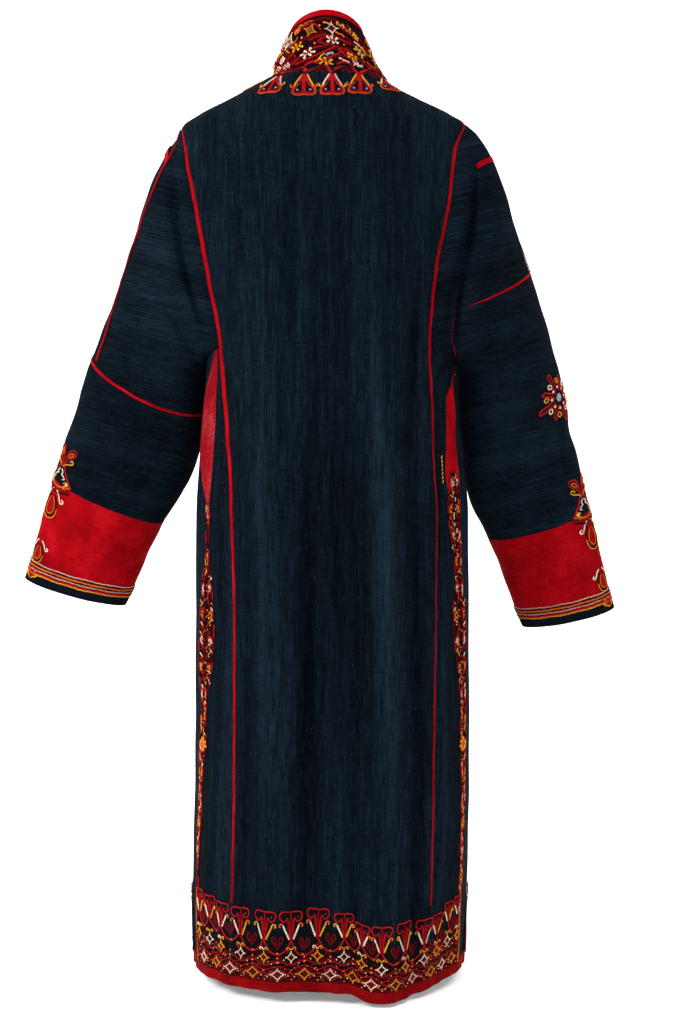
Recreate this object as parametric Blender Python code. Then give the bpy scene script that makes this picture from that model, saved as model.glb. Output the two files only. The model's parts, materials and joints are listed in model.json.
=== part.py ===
"""Chapan: a long Central Asian coat that hangs filled out, built from the pieces its maker cut and sewed.

The wearer would face -Y, so +Y is the back and +X the wearer's left. The origin is the middle of the
neck at the height of the shoulders, and +Z is up. Lengths are metres. The wearer's left sleeve sits a
little lower and further out than the right one, as a coat hangs in use.
"""

from collections import namedtuple

import bpy
import numpy as np

# Cloth and seams
WALL = 0.002
COLLAR_WALL = 0.003
SEAM_GAP = 0.0003
PROUD = 0.0006
TRIM_WALL = 0.0012
LEAST_SLANT = 0.3

# Heights of the long seams
HEM = -1.141
HEM_BINDING_WIDTH = 0.017
UNDERARM = -0.335
NECK = 0.006
TIP = {"left": -0.050, "right": -0.036}
SIGN = {"left": 1.0, "right": -1.0}

# Widths of the narrow pieces
FRONT_BINDING_WIDTH = 0.010
FRONT_GAP_AT_NECK = 0.010
FRONT_GAP_AT_HEM = 0.024
COLLAR_BINDING_SHARE = 0.84
PIPING_WIDTH = 0.004
SHOULDER_PIPING_WIDTH = 0.0035
PIPING_STOP = 0.0012
PIPING_LIFT = 0.00036
CUFF_EDGE_WIDTH = 0.013
LEAST_WIDTH = 0.0025

# Rows and columns of each grid
LOW_ROWS = 13
ARMHOLE_ROWS = 8
NECK_ROWS = 4
BACK_COLUMNS = 26
FRONT_COLUMNS = 11
GORE_COLUMNS = 3
GUSSET_COLUMNS = 8
ARMHOLE_LEAST_STEP = 0.005

# One row for each level of the body, outer face; left and right are half widths, back and front half
# depths, rise and drop lift the back and lower the front of a row from the height of its sides
Level = namedtuple("Level", "height left right back front rise drop")
BODY_LEVELS = [
    Level(-1.141, 0.1795, 0.1720, 0.154, 0.150, 0.000, 0.000),
    Level(-1.060, 0.1810, 0.1755, 0.152, 0.147, 0.000, 0.000),
    Level(-0.900, 0.1785, 0.1795, 0.147, 0.142, 0.000, 0.000),
    Level(-0.700, 0.1770, 0.1790, 0.139, 0.135, 0.000, 0.000),
    Level(-0.550, 0.1760, 0.1775, 0.131, 0.128, 0.000, 0.000),
    Level(-0.480, 0.1715, 0.1710, 0.127, 0.125, 0.000, 0.000),
    Level(-0.420, 0.1670, 0.1655, 0.124, 0.122, 0.000, 0.000),
    Level(-0.335, 0.1600, 0.1570, 0.120, 0.118, 0.000, 0.000),
    Level(-0.250, 0.1730, 0.1630, 0.117, 0.115, 0.000, 0.000),
    Level(-0.150, 0.1890, 0.1760, 0.111, 0.108, 0.000, 0.004),
    Level(-0.090, 0.1960, 0.1805, 0.103, 0.101, 0.002, 0.016),
    Level(-0.055, 0.1925, 0.1760, 0.094, 0.094, 0.004, 0.030),
    Level(-0.037, 0.1685, 0.1520, 0.088, 0.088, 0.006, 0.040),
    Level(-0.022, 0.1380, 0.1190, 0.082, 0.082, 0.008, 0.048),
    Level(0.000, 0.0920, 0.0755, 0.073, 0.074, 0.011, 0.058),
    Level(0.006, 0.0760, 0.0700, 0.070, 0.072, 0.012, 0.060),
]
BODY_BOXINESS = 2.2

# Where the long seams run, in degrees round from the middle of the back, and the red strip's width
Seams = namedtuple("Seams", "height back gusset_back gusset_front front strip")
SEAM_ROWS = {
    "left": [
        Seams(-1.141, 41.4, 69.0, 70.0, 137.0, 0.0036),
        Seams(-1.000, 41.4, 69.0, 70.0, 137.0, 0.0036),
        Seams(-0.900, 41.5, 67.0, 68.0, 136.5, 0.0037),
        Seams(-0.800, 41.6, 63.5, 64.5, 136.0, 0.0038),
        Seams(-0.700, 42.0, 61.5, 62.5, 135.0, 0.0040),
        Seams(-0.600, 42.7, 60.5, 61.5, 134.0, 0.0045),
        Seams(-0.548, 43.8, 59.8, 60.8, 133.0, 0.0050),
        Seams(-0.500, 45.1, 58.8, 72.0, 132.0, 0.0058),
        Seams(-0.420, 49.9, 59.0, 96.0, 128.0, 0.0075),
        Seams(-0.335, 58.5, 62.0, 118.0, 122.5, 0.0088),
        Seams(-0.250, 60.3, 63.0, 118.0, 121.0, 0.0090),
        Seams(-0.150, 63.1, 66.0, 116.0, 118.0, 0.0090),
        Seams(-0.090, 66.5, 70.0, 111.0, 112.0, 0.0080),
        Seams(-0.062, 75.0, 78.0, 102.0, 104.0, 0.0050),
        Seams(-0.050, 88.8, 89.5, 90.5, 91.2, 0.0014),
    ],
    "right": [
        Seams(-1.141, 43.7, 66.0, 67.0, 137.0, 0.0028),
        Seams(-1.000, 43.7, 66.5, 67.5, 137.0, 0.0028),
        Seams(-0.900, 43.9, 67.0, 68.0, 136.5, 0.0028),
        Seams(-0.800, 44.4, 66.8, 67.8, 136.0, 0.0028),
        Seams(-0.700, 45.5, 64.0, 65.0, 135.0, 0.0028),
        Seams(-0.600, 46.6, 61.0, 62.0, 134.0, 0.0028),
        Seams(-0.548, 47.0, 58.5, 59.5, 133.0, 0.0030),
        Seams(-0.500, 47.4, 56.5, 68.0, 132.0, 0.0032),
        Seams(-0.420, 48.8, 59.4, 94.0, 128.0, 0.0036),
        Seams(-0.335, 50.2, 67.0, 118.0, 122.5, 0.0046),
        Seams(-0.250, 51.2, 66.0, 118.0, 121.0, 0.0055),
        Seams(-0.150, 55.7, 62.0, 116.0, 118.0, 0.0060),
        Seams(-0.090, 57.5, 64.0, 111.0, 112.0, 0.0060),
        Seams(-0.050, 74.0, 78.0, 102.0, 104.0, 0.0040),
        Seams(-0.036, 88.8, 89.5, 90.5, 91.2, 0.0014),
    ],
}
GUSSET_FOOT = -0.548

# Long soft folds of the body: the line of each one, its half width in degrees and how far it stands out
Fold = namedtuple("Fold", "low_angle high_angle low high spread rise")
BODY_FOLDS = [
    Fold(-25.0, -16.0, -1.30, -0.62, 13.0, 0.030),
    Fold(-35.0, -29.0, -1.30, -0.55, 4.0, -0.008),
    Fold(2.0, 4.0, -1.30, -0.45, 8.0, -0.004),
    Fold(42.0, 40.0, -1.30, -0.70, 14.0, 0.006),
    Fold(22.0, 18.0, -1.30, -0.40, 8.0, 0.004),
    Fold(-3.0, -6.0, -0.80, -0.12, 7.0, 0.003),
    Fold(-38.0, -33.0, -0.60, -0.10, 6.0, 0.004),
    Fold(33.0, 36.0, -0.55, -0.08, 6.0, 0.004),
    Fold(52.0, 54.0, -1.30, -0.55, 5.0, -0.004),
    Fold(-55.0, -55.0, -1.30, -0.55, 5.0, -0.004),
    Fold(100.0, 104.0, -1.30, -0.45, 9.0, 0.004),
    Fold(-98.0, -102.0, -1.30, -0.45, 9.0, 0.004),
    Fold(152.0, 150.0, -1.30, -0.40, 7.0, 0.007),
    Fold(-150.0, -152.0, -1.30, -0.35, 8.0, 0.006),
    Fold(165.0, 163.0, -1.00, -0.20, 5.0, -0.004),
]

HEM_SAG = 0.008
HEM_SAG_ANGLE = np.radians(-32.0)
HEM_SAG_SPREAD = np.radians(22.0)
HEM_SAG_REACH = 0.30

# One row for each ring of a sleeve: the ends of the ring on the outer and inner line of the arm, how far
# back its middle is and its half depth; share is the way down the outer line, from armhole to wrist
Ring = namedtuple("Ring", "share outer_x outer_z inner_x inner_z middle_y half_depth")
SLEEVE_RINGS = {
    "left": [
        Ring(0.000, 0.1860, -0.0505, 0.1600, -0.3350, 0.000, 0.066),
        Ring(0.053, 0.2065, -0.0800, 0.1620, -0.3345, -0.004, 0.069),
        Ring(0.142, 0.2325, -0.1308, 0.1650, -0.3360, -0.010, 0.072),
        Ring(0.270, 0.2610, -0.2074, 0.1660, -0.3450, -0.022, 0.071),
        Ring(0.404, 0.2900, -0.2850, 0.1655, -0.3640, -0.038, 0.066),
        Ring(0.527, 0.3218, -0.3601, 0.1655, -0.4270, -0.055, 0.058),
        Ring(0.665, 0.3505, -0.4430, 0.1880, -0.5060, -0.072, 0.051),
        Ring(0.780, 0.3750, -0.5119, 0.2284, -0.5722, -0.090, 0.043),
        Ring(1.000, 0.4166, -0.6457, 0.2800, -0.6822, -0.118, 0.030),
    ],
    "right": [
        Ring(0.000, 0.1510, -0.0365, 0.1570, -0.3350, 0.000, 0.066),
        Ring(0.042, 0.1745, -0.0553, 0.1590, -0.3340, -0.002, 0.070),
        Ring(0.089, 0.1905, -0.0803, 0.1605, -0.3340, -0.005, 0.074),
        Ring(0.170, 0.2160, -0.1308, 0.1630, -0.3360, -0.010, 0.077),
        Ring(0.285, 0.2470, -0.2074, 0.1650, -0.3450, -0.022, 0.075),
        Ring(0.339, 0.2614, -0.2422, 0.1650, -0.3515, -0.029, 0.072),
        Ring(0.443, 0.2842, -0.3113, 0.1650, -0.3700, -0.042, 0.066),
        Ring(0.522, 0.3001, -0.3641, 0.1650, -0.4040, -0.052, 0.059),
        Ring(0.601, 0.3136, -0.4173, 0.1690, -0.4580, -0.064, 0.055),
        Ring(0.696, 0.3288, -0.4820, 0.1815, -0.5296, -0.078, 0.049),
        Ring(0.796, 0.3470, -0.5488, 0.2101, -0.5887, -0.094, 0.042),
        Ring(1.000, 0.3841, -0.6864, 0.2590, -0.7118, -0.122, 0.030),
    ],
}
FORWARD_LEAN = 12.0
ARMHOLE_FADE = 0.36

# Where the cross seam of each sleeve lies, by degrees round the arm, and the share where the cuff starts
CrossSeam = namedtuple("CrossSeam", "turn share")
CROSS_SEAMS = {
    "left": [CrossSeam(0.0, 0.500), CrossSeam(60.0, 0.527), CrossSeam(90.0, 0.534), CrossSeam(180.0, 0.518)],
    "right": [
        CrossSeam(0.0, 0.339),
        CrossSeam(45.0, 0.328),
        CrossSeam(84.0, 0.291),
        CrossSeam(115.0, 0.281),
        CrossSeam(150.0, 0.310),
        CrossSeam(180.0, 0.330),
    ],
}
CUFF_START = {"left": 0.780, "right": 0.796}
UPPER_RINGS = 9
LOWER_RINGS = {"left": 5, "right": 7}
CUFF_RINGS = 4

# Folds of a sleeve: start and end angle round the arm, share at each of them, half width and rise
SleeveFold = namedtuple("SleeveFold", "start end start_share end_share spread rise")
SLEEVE_FOLDS = {
    "left": [
        SleeveFold(25.0, 135.0, 0.050, 0.075, 0.022, -0.006),
        SleeveFold(20.0, 120.0, 0.150, 0.130, 0.030, 0.004),
        SleeveFold(-140.0, -30.0, 0.070, 0.050, 0.025, -0.005),
        SleeveFold(60.0, 170.0, 0.420, 0.340, 0.030, -0.003),
        SleeveFold(-20.0, 70.0, 0.600, 0.640, 0.030, -0.003),
    ],
    "right": [
        SleeveFold(40.0, 140.0, 0.070, 0.120, 0.026, -0.009),
        SleeveFold(20.0, 110.0, 0.170, 0.200, 0.035, 0.004),
        SleeveFold(-140.0, -30.0, 0.070, 0.050, 0.025, -0.005),
        SleeveFold(50.0, 170.0, 0.480, 0.430, 0.030, -0.003),
        SleeveFold(-30.0, 60.0, 0.620, 0.670, 0.030, -0.003),
    ],
}

# One row for each level of the standing collar, by its share of the collar's height
CollarLevel = namedtuple("CollarLevel", "share left right back front side rise drop")
COLLAR_LEVELS = [
    CollarLevel(0.00, 0.0760, 0.0700, 0.070, 0.072, 0.006, 0.012, 0.060),
    CollarLevel(0.25, 0.0720, 0.0600, 0.064, 0.067, 0.022, 0.013, 0.056),
    CollarLevel(0.50, 0.0670, 0.0526, 0.057, 0.061, 0.037, 0.015, 0.052),
    CollarLevel(0.75, 0.0600, 0.0455, 0.050, 0.055, 0.052, 0.020, 0.048),
    CollarLevel(1.00, 0.0530, 0.0405, 0.044, 0.050, 0.066, 0.025, 0.043),
]
COLLAR_ROWS = 6
COLLAR_RUMPLE = 0.0012

# Short red bar across the top of each sleeve: share, the angles of its ends round the arm, and width
Bar = namedtuple("Bar", "share start end width")
SHOULDER_BARS = {"left": Bar(0.090, 9.0, 26.0, 0.008), "right": Bar(0.092, 9.0, 34.0, 0.009)}
BAR_LIFT = 0.0007

# Colour, roughness
COLOURS = {
    "navy": ((0.012, 0.022, 0.038), 0.85),
    "red": ((0.42, 0.008, 0.014), 0.60),
    "embroidery": ((0.16, 0.012, 0.014), 0.75),
    "dark": ((0.012, 0.014, 0.020), 0.80),
}


def smooth(places, values, at):
    """Smooth curve through a table's column that doesn't swing past its values."""
    places = np.asarray(places, float)
    values = np.asarray(values, float)
    at = np.clip(at, places[0], places[-1])
    rise = np.diff(values) / np.diff(places)
    before = np.concatenate(([rise[0]], rise))
    after = np.concatenate((rise, [rise[-1]]))
    same_way = before * after > 0
    total = np.where(same_way, before + after, 1.0)
    slope = np.where(same_way, 2.0 * before * after / total, 0.0)
    i = np.clip(np.searchsorted(places, at, side="right") - 1, 0, len(places) - 2)
    step = places[i + 1] - places[i]
    t = (at - places[i]) / step
    start = (1 + 2 * t) * (1 - t) ** 2 * values[i] + t * (1 - t) ** 2 * step * slope[i]
    end = t * t * (3 - 2 * t) * values[i + 1] - t * t * (1 - t) * step * slope[i + 1]
    return start + end


def column(table, place, name, at):
    """One named column of a table, read at given places."""
    return smooth([getattr(row, place) for row in table], [getattr(row, name) for row in table], at)


def unit(vectors):
    """Vectors at length one."""
    return vectors / np.linalg.norm(vectors, axis=-1, keepdims=True)


def ring_point(angle, left, right, back, front, boxiness=BODY_BOXINESS):
    """Point of a rounded ring, by the angle from the middle of the back towards the wearer's left."""
    sine, cosine = np.sin(angle), np.cos(angle)
    swell = (np.abs(sine) ** boxiness + np.abs(cosine) ** boxiness) ** (-1.0 / boxiness)
    x = (left - right) / 2 + (left + right) / 2 * sine * swell
    y = np.where(cosine > 0, back, front) * cosine * swell
    return x, y


def ring_tilt(angle, rise, drop):
    """How far a ring's back is lifted and its front lowered from its sides."""
    return np.where(np.cos(angle) > 0, rise, -drop) * np.abs(np.cos(angle)) ** 1.5


def fold_rise(angle, height):
    """How far the body's folds stand out from its plain ring."""
    total = np.zeros(np.broadcast(angle, height).shape)
    for fold in BODY_FOLDS:
        way = np.clip((height - fold.low) / (fold.high - fold.low), 0.0, 1.0)
        line = np.radians(fold.low_angle + (fold.high_angle - fold.low_angle) * way)
        spread = np.radians(fold.spread)
        fade = np.sin(np.pi * np.clip(0.15 + 0.85 * way, 0.0, 1.0)) ** 1.5 if fold.low > HEM else (1 - way) ** 1.2
        total = total + fold.rise * fade * np.exp(-(((angle - line) / spread) ** 2))
    return total


def hem_sag(angle, height):
    """How far the hem hangs down under its largest fold."""
    reach = np.clip(1 - (height - HEM) / HEM_SAG_REACH, 0.0, 1.0) ** 2
    return HEM_SAG * reach * np.exp(-(((angle - HEM_SAG_ANGLE) / HEM_SAG_SPREAD) ** 2))


def body(angle, height):
    """Outer face of the coat's body at an angle (radians) and the height of the row's sides."""
    level = {name: column(BODY_LEVELS, "height", name, height) for name in Level._fields[1:]}
    x, y = ring_point(angle, level["left"], level["right"], level["back"], level["front"])
    z = height + ring_tilt(angle, level["rise"], level["drop"]) - hem_sag(angle, height)
    width = (level["left"] + level["right"]) / 2
    depth = np.where(np.cos(angle) > 0, level["back"], level["front"])
    outward = np.stack(np.broadcast_arrays(np.sin(angle) / width, np.cos(angle) / depth, 0.0), axis=-1)
    return np.stack(np.broadcast_arrays(x, y, z), axis=-1) + unit(outward) * fold_rise(angle, height)[..., None]


def body_normal(angle, height):
    """Direction straight out of the body's face."""
    turn, climb = 0.004, 0.0015
    up = body(angle, height + climb) - body(angle, height - climb)
    round_it = body(angle + turn, height) - body(angle - turn, height)
    return unit(np.cross(up, round_it))


def body_width(angle, height):
    """Metres of cloth for each radian round the body."""
    turn = 0.004
    return np.linalg.norm(body(angle + turn, height) - body(angle - turn, height), axis=-1) / (2 * turn)


def row_heights():
    """Heights of the body's rows, from above the hem binding to the neck."""
    low = np.linspace(HEM + HEM_BINDING_WIDTH, UNDERARM, LOW_ROWS)
    low[np.argmin(np.abs(low - GUSSET_FOOT))] = GUSSET_FOOT
    climb = 1 - (1 - np.linspace(0.0, 1.0, ARMHOLE_ROWS + 1)[1:]) ** 1.5
    arm = UNDERARM + (TIP["left"] - UNDERARM) * climb
    top = np.linspace(TIP["right"], NECK, NECK_ROWS + 1)
    return np.concatenate((low, arm, top))


HEIGHTS = row_heights()


def seam(side, name, height):
    """Angle of a seam in radians, kept positive on both sides."""
    return np.radians(column(SEAM_ROWS[side], "height", name, height))


def strip_edge(side, which, outward, height):
    """Angle of one edge of the back or front red strip; outward is 1 towards the arm and -1 away."""
    middle = seam(side, which, height)
    half = column(SEAM_ROWS[side], "height", "strip", height) / 2
    turn = half / body_width(SIGN[side] * middle, height)
    turn = turn * outward * (1.0 if which == "back" else -1.0)
    ridge = np.pi / 2
    edge = middle + turn
    above = height > TIP[side] + 1e-6
    limited = np.minimum(edge, ridge) if which == "back" else np.maximum(edge, ridge)
    return np.where(above, ridge, limited)


def front_edge(height, back_from_edge=0.0):
    """Angle of the open front's edge, or of a line some metres back from it."""
    way = (height - HEM) / (NECK - HEM)
    half_gap = (FRONT_GAP_AT_HEM + (FRONT_GAP_AT_NECK - FRONT_GAP_AT_HEM) * way) / 2
    return np.pi - (half_gap + back_from_edge) / body_width(np.pi - 0.03, height)


def drawn_in(edge, neighbour):
    """Edge of a grid moved towards the next line of points, half a seam gap square to the seam."""
    inward = unit(neighbour - edge)
    along = unit(np.gradient(edge, axis=0))
    slant = np.einsum("ij,ij->i", inward, along)
    square = np.sqrt(np.maximum(1 - slant**2, LEAST_SLANT**2))
    return edge + inward * (SEAM_GAP / 2 / square)[:, None]


def trimmed(grid, sides):
    """Grid with the named edges drawn in by half a seam gap."""
    grid = grid.copy()
    if "bottom" in sides:
        grid[0] = drawn_in(grid[0], grid[1])
    if "top" in sides:
        grid[-1] = drawn_in(grid[-1], grid[-2])
    if "start" in sides:
        grid[:, 0] = drawn_in(grid[:, 0], grid[:, 1])
    if "end" in sides:
        grid[:, -1] = drawn_in(grid[:, -1], grid[:, -2])
    return grid


def material(name):
    """Plain shader in one of the coat's colours."""
    found = bpy.data.materials.get(name)
    if found:
        return found
    made = bpy.data.materials.new(name)
    made.use_nodes = True
    shader = made.node_tree.nodes["Principled BSDF"]
    (red, green, blue), roughness = COLOURS[name.rsplit("_", 1)[-1]]
    shader.inputs["Base Color"].default_value = (red, green, blue, 1.0)
    shader.inputs["Roughness"].default_value = roughness
    made.diffuse_color = (red, green, blue, 1.0)
    return made


def wall(name, outer, inner, colour, tube=False):
    """Closed piece of cloth between an outer and an inner grid of points."""
    rows, columns = outer.shape[:2]
    index = np.arange(rows * columns).reshape(rows, columns)
    if tube:
        index = np.concatenate((index, index[:, :1]), axis=1)
    faces = [face(index), face(index + rows * columns)[:, ::-1]]
    lifted = index + rows * columns
    rims = [rim(index[0], lifted[0]), rim(index[-1], lifted[-1])[:, ::-1]]
    if not tube:
        rims += [rim(index[:, 0], lifted[:, 0])[:, ::-1], rim(index[:, -1], lifted[:, -1])]
    mesh = bpy.data.meshes.new(name)
    points = np.concatenate((outer.reshape(-1, 3), inner.reshape(-1, 3)))
    mesh.from_pydata(points.tolist(), [], np.concatenate(faces).tolist() + np.concatenate(rims).tolist())
    mesh.materials.append(material(f"{name}_{colour}"))
    mesh.update()
    mesh.shade_smooth()
    mesh.set_sharp_from_angle(angle=np.radians(50))
    made = bpy.data.objects.new(name, mesh)
    bpy.context.scene.collection.objects.link(made)
    return made


def face(index):
    """Four-sided faces of a grid of point numbers."""
    corners = (index[:-1, :-1], index[:-1, 1:], index[1:, 1:], index[1:, :-1])
    return np.stack([part.ravel() for part in corners], axis=-1)


def rim(near, far):
    """Triangles between the edge of the outer grid and that of the inner one, cut alike on both sides of a seam."""
    first = np.stack((far[1:], near[1:], near[:-1]), axis=-1)
    second = np.stack((far[:-1], far[1:], near[:-1]), axis=-1)
    return np.concatenate((first, second))


def outward_faces(made):
    """Turn a piece's faces to the outside where its grid ran the other way."""
    mesh = made.data
    count = len(mesh.vertices)
    points = np.empty(count * 3)
    mesh.vertices.foreach_get("co", points)
    points = points.reshape(-1, 3)
    mesh.calc_loop_triangles()
    triangles = np.empty(len(mesh.loop_triangles) * 3, dtype=np.int32)
    mesh.loop_triangles.foreach_get("vertices", triangles)
    a, b, c = points[triangles.reshape(-1, 3)].transpose(1, 0, 2)
    if np.einsum("ij,ij->i", a, np.cross(b, c)).sum() < 0:
        mesh.flip_normals()
    return made


def body_piece(name, heights, start, end, columns, trims, colour="navy", proud=0.0, thickness=WALL):
    """Piece of the body between two lines of angles, start and end, given for each height."""
    share = np.linspace(0.0, 1.0, columns + 1)
    angle = start[:, None] + (end - start)[:, None] * share
    height = np.broadcast_to(heights[:, None], angle.shape)
    normal = body_normal(angle, height)
    grid = trimmed(body(angle, height), trims)
    outer = grid + normal * proud
    return outward_faces(wall(name, outer, grid - normal * thickness, colour))


def between(low, high):
    """The body's row heights from low to high."""
    return HEIGHTS[(HEIGHTS > low - 1e-6) & (HEIGHTS < high + 1e-6)]


def back_panel():
    """Back: one loom width from hem to neck and out to the shoulder ridge."""
    start = -strip_edge("right", "back", -1, HEIGHTS)
    end = strip_edge("left", "back", -1, HEIGHTS)
    return body_piece("back_panel", HEIGHTS, start, end, BACK_COLUMNS, ("bottom", "start", "end"))


def front_panel(side):
    """Front: from the red strip and the shoulder ridge to the binding of the open edge."""
    start = strip_edge(side, "front", -1, HEIGHTS)
    end = front_edge(HEIGHTS, FRONT_BINDING_WIDTH)
    turned = SIGN[side]
    name = f"front_panel_{side}"
    return body_piece(name, HEIGHTS, turned * start, turned * end, FRONT_COLUMNS, ("bottom", "start", "end"))


def front_binding(side):
    """Red binding of the open front edge."""
    start = front_edge(HEIGHTS, FRONT_BINDING_WIDTH)
    end = front_edge(HEIGHTS)
    turned = SIGN[side]
    name = f"front_binding_{side}"
    trims = ("bottom", "start")
    return body_piece(name, HEIGHTS, turned * start, turned * end, 1, trims, "red", PROUD)


def seam_strip(side, which):
    """Red strip let in along the armhole and on down to the hem."""
    heights = between(HEIGHTS[0], TIP[side])
    start = strip_edge(side, which, -1, heights)
    end = strip_edge(side, which, 1, heights)
    turned = SIGN[side]
    name = f"seam_strip_{which}_{side}"
    trims = ("bottom", "start", "end")
    return body_piece(name, heights, turned * start, turned * end, 1, trims, "red", PROUD)


def least_apart(start, end, height, side):
    """Angles pushed apart to the least width a piece may have."""
    turn = LEAST_WIDTH / body_width(SIGN[side] * start, height)
    return np.maximum(end, start + turn)


def gusset_edges(side, heights):
    """Angles of the gusset's two edges, which meet at its foot."""
    back = least_apart(strip_edge(side, "back", 1, heights), seam(side, "gusset_back", heights), heights, side)
    front = np.minimum(seam(side, "gusset_front", heights), seam(side, "front", heights) - 0.05)
    return back, np.maximum(front, back + LEAST_WIDTH / body_width(SIGN[side] * back, heights))


def gusset(side):
    """Long red gusset under the arm, wide at the armhole and pointed at its foot."""
    heights = between(GUSSET_FOOT, UNDERARM)
    back, front = gusset_edges(side, heights)
    turned = SIGN[side]
    trims = ("bottom", "top", "start", "end")
    return body_piece(f"gusset_{side}", heights, turned * back, turned * front, GUSSET_COLUMNS, trims, "red")


def gore_back(side):
    """Back gore: from the red strip to the gusset and the side seam."""
    heights = between(HEIGHTS[0], UNDERARM)
    start = strip_edge(side, "back", 1, heights)
    end, _ = gusset_edges(side, heights)
    turned = SIGN[side]
    trims = ("bottom", "top", "start", "end")
    return body_piece(f"gore_back_{side}", heights, turned * start, turned * end, GORE_COLUMNS, trims)


def gore_front(side):
    """Front gore: from the side seam and the gusset to the front's red strip."""
    heights = between(HEIGHTS[0], UNDERARM)
    back, front = gusset_edges(side, heights)
    start = np.where(heights < GUSSET_FOOT - 1e-6, back, front)
    end = np.maximum(strip_edge(side, "front", 1, heights), start + 0.02)
    turned = SIGN[side]
    trims = ("bottom", "top", "start", "end")
    return body_piece(f"gore_front_{side}", heights, turned * start, turned * end, GORE_COLUMNS + 2, trims)


def hem_binding():
    """Red binding round the whole hem, from one front edge to the other."""
    heights = np.array([HEM, HEM + HEM_BINDING_WIDTH / 2, HEM + HEM_BINDING_WIDTH])
    edge = front_edge(heights)
    columns = 2 * BACK_COLUMNS + 2 * FRONT_COLUMNS
    return body_piece("hem_binding", heights, -edge, edge, columns, ("top",), "red", PROUD)


def under_angles(side, back_foot, front_foot):
    """Angles of the points under the arm, which are those of the gores and the gusset that end there."""
    line = np.array([UNDERARM])
    stops = np.concatenate((back_foot, *gusset_edges(side, line), front_foot))
    counts = (GORE_COLUMNS, GUSSET_COLUMNS, GORE_COLUMNS + 2)
    angles = [np.linspace(a, b, n + 1) for a, b, n in zip(stops[:-1], stops[1:], counts)]
    kept = [stops[0]]
    least = ARMHOLE_LEAST_STEP / body_width(SIGN[side] * np.pi / 2, UNDERARM)
    for angle in np.concatenate(angles):
        if angle - kept[-1] > least and stops[-1] - angle > least:
            kept.append(angle)
    return np.array(kept[1:])


def armhole(side):
    """Points round an armhole and their angles: over the tip, down the back, under and up the front."""
    turned = SIGN[side]
    heights = between(UNDERARM, TIP[side])[::-1][1:]
    back = body(turned * strip_edge(side, "back", 1, heights), heights)
    front = body(turned * strip_edge(side, "front", 1, heights), heights)[::-1]
    back_foot = strip_edge(side, "back", 1, heights[-1:])
    front_foot = strip_edge(side, "front", 1, heights[-1:])
    angles = under_angles(side, back_foot, front_foot)
    under = body(turned * angles, np.full(len(angles), UNDERARM))
    tip = body(np.array([turned * np.pi / 2]), np.array([TIP[side]]))
    loop = np.concatenate((tip, back, under, front))
    steps = np.linalg.norm(np.diff(np.concatenate((loop, loop[:1])), axis=0), axis=1)
    way = np.concatenate(([0.0], np.cumsum(steps)))
    bottom = len(heights) + int(np.argmax(under[:, 0] * turned)) + 1
    turn = np.where(way[:-1] <= way[bottom], way[:-1] / way[bottom], 0.0) * np.pi
    late = np.arange(len(loop)) > bottom
    turn[late] = np.pi * (1 + (way[:-1][late] - way[bottom]) / (way[-1] - way[bottom]))
    return loop, turn


def plain_sleeve(side, turn, share):
    """Sleeve without the armhole's shape: leaning oval rings between the arm's outer and inner line."""
    read = {name: column(SLEEVE_RINGS[side], "share", name, share) for name in Ring._fields[1:]}
    lean = np.radians(FORWARD_LEAN) * np.clip(share / 0.4, 0.0, 1.0)
    half_x = (read["outer_x"] - read["inner_x"]) / 2
    half_z = (read["outer_z"] - read["inner_z"]) / 2
    x = read["inner_x"] + half_x * (1 + np.cos(turn))
    y = read["middle_y"] + read["half_depth"] * np.sin(turn) * np.cos(lean)
    z = read["inner_z"] + half_z * (1 + np.cos(turn)) - read["half_depth"] * np.sin(turn) * np.sin(lean)
    return np.stack(np.broadcast_arrays(SIGN[side] * x, y, z), axis=-1)


def sleeve_fold_rise(side, turn, share):
    """How far a sleeve's folds stand out."""
    degrees = np.degrees((turn + np.pi) % (2 * np.pi) - np.pi)
    total = np.zeros(np.broadcast(turn, share).shape)
    for fold in SLEEVE_FOLDS[side]:
        way = np.clip((degrees - fold.start) / (fold.end - fold.start), 0.0, 1.0)
        line = fold.start_share + (fold.end_share - fold.start_share) * way
        total = total + fold.rise * np.sin(np.pi * way) * np.exp(-(((share - line) / fold.spread) ** 2))
    return total


def sleeve_grid(side):
    """All rings of a sleeve with the directions out of its face, and the number of each seam's ring."""
    loop, turn = armhole(side)
    cross = column(CROSS_SEAMS[side], "turn", "share", np.degrees(np.pi - np.abs(np.pi - turn)))
    step = 0.01
    nearby = sleeve_surface(side, loop, turn, np.array([cross - step, cross + step]))
    half_piping = PIPING_WIDTH * step / np.linalg.norm(nearby[1] - nearby[0], axis=-1)
    edge = 1.0 - CUFF_EDGE_WIDTH / overarm_length(side)
    stops = [np.zeros_like(cross), cross - half_piping, cross + half_piping]
    stops += [np.full_like(cross, CUFF_START[side]), np.full_like(cross, edge), np.ones_like(cross)]
    counts = [UPPER_RINGS, 1, LOWER_RINGS[side], CUFF_RINGS, 1]
    rows, marks = [stops[0]], [0]
    for start, end, count in zip(stops[:-1], stops[1:], counts):
        for step in range(1, count + 1):
            rows.append(start + (end - start) * step / count)
        marks.append(len(rows) - 1)
    share = np.array(rows)
    grid = sleeve_surface(side, loop, turn, share)
    normal = tube_normals(grid, SIGN[side])
    grid = grid + normal * sleeve_fold_rise(side, turn, share)[..., None]
    return grid, tube_normals(grid, SIGN[side]), marks


def sleeve_surface(side, loop, turn, share):
    """Sleeve at the armhole's angles: its own rings, which take on the armhole's shape towards the shoulder."""
    residue = loop - plain_sleeve(side, turn, np.zeros_like(turn))
    fade = np.clip(1 - share / ARMHOLE_FADE, 0.0, 1.0)
    fade = fade * fade * (3 - 2 * fade)
    return plain_sleeve(side, turn, share) + residue * fade[..., None]


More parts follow.
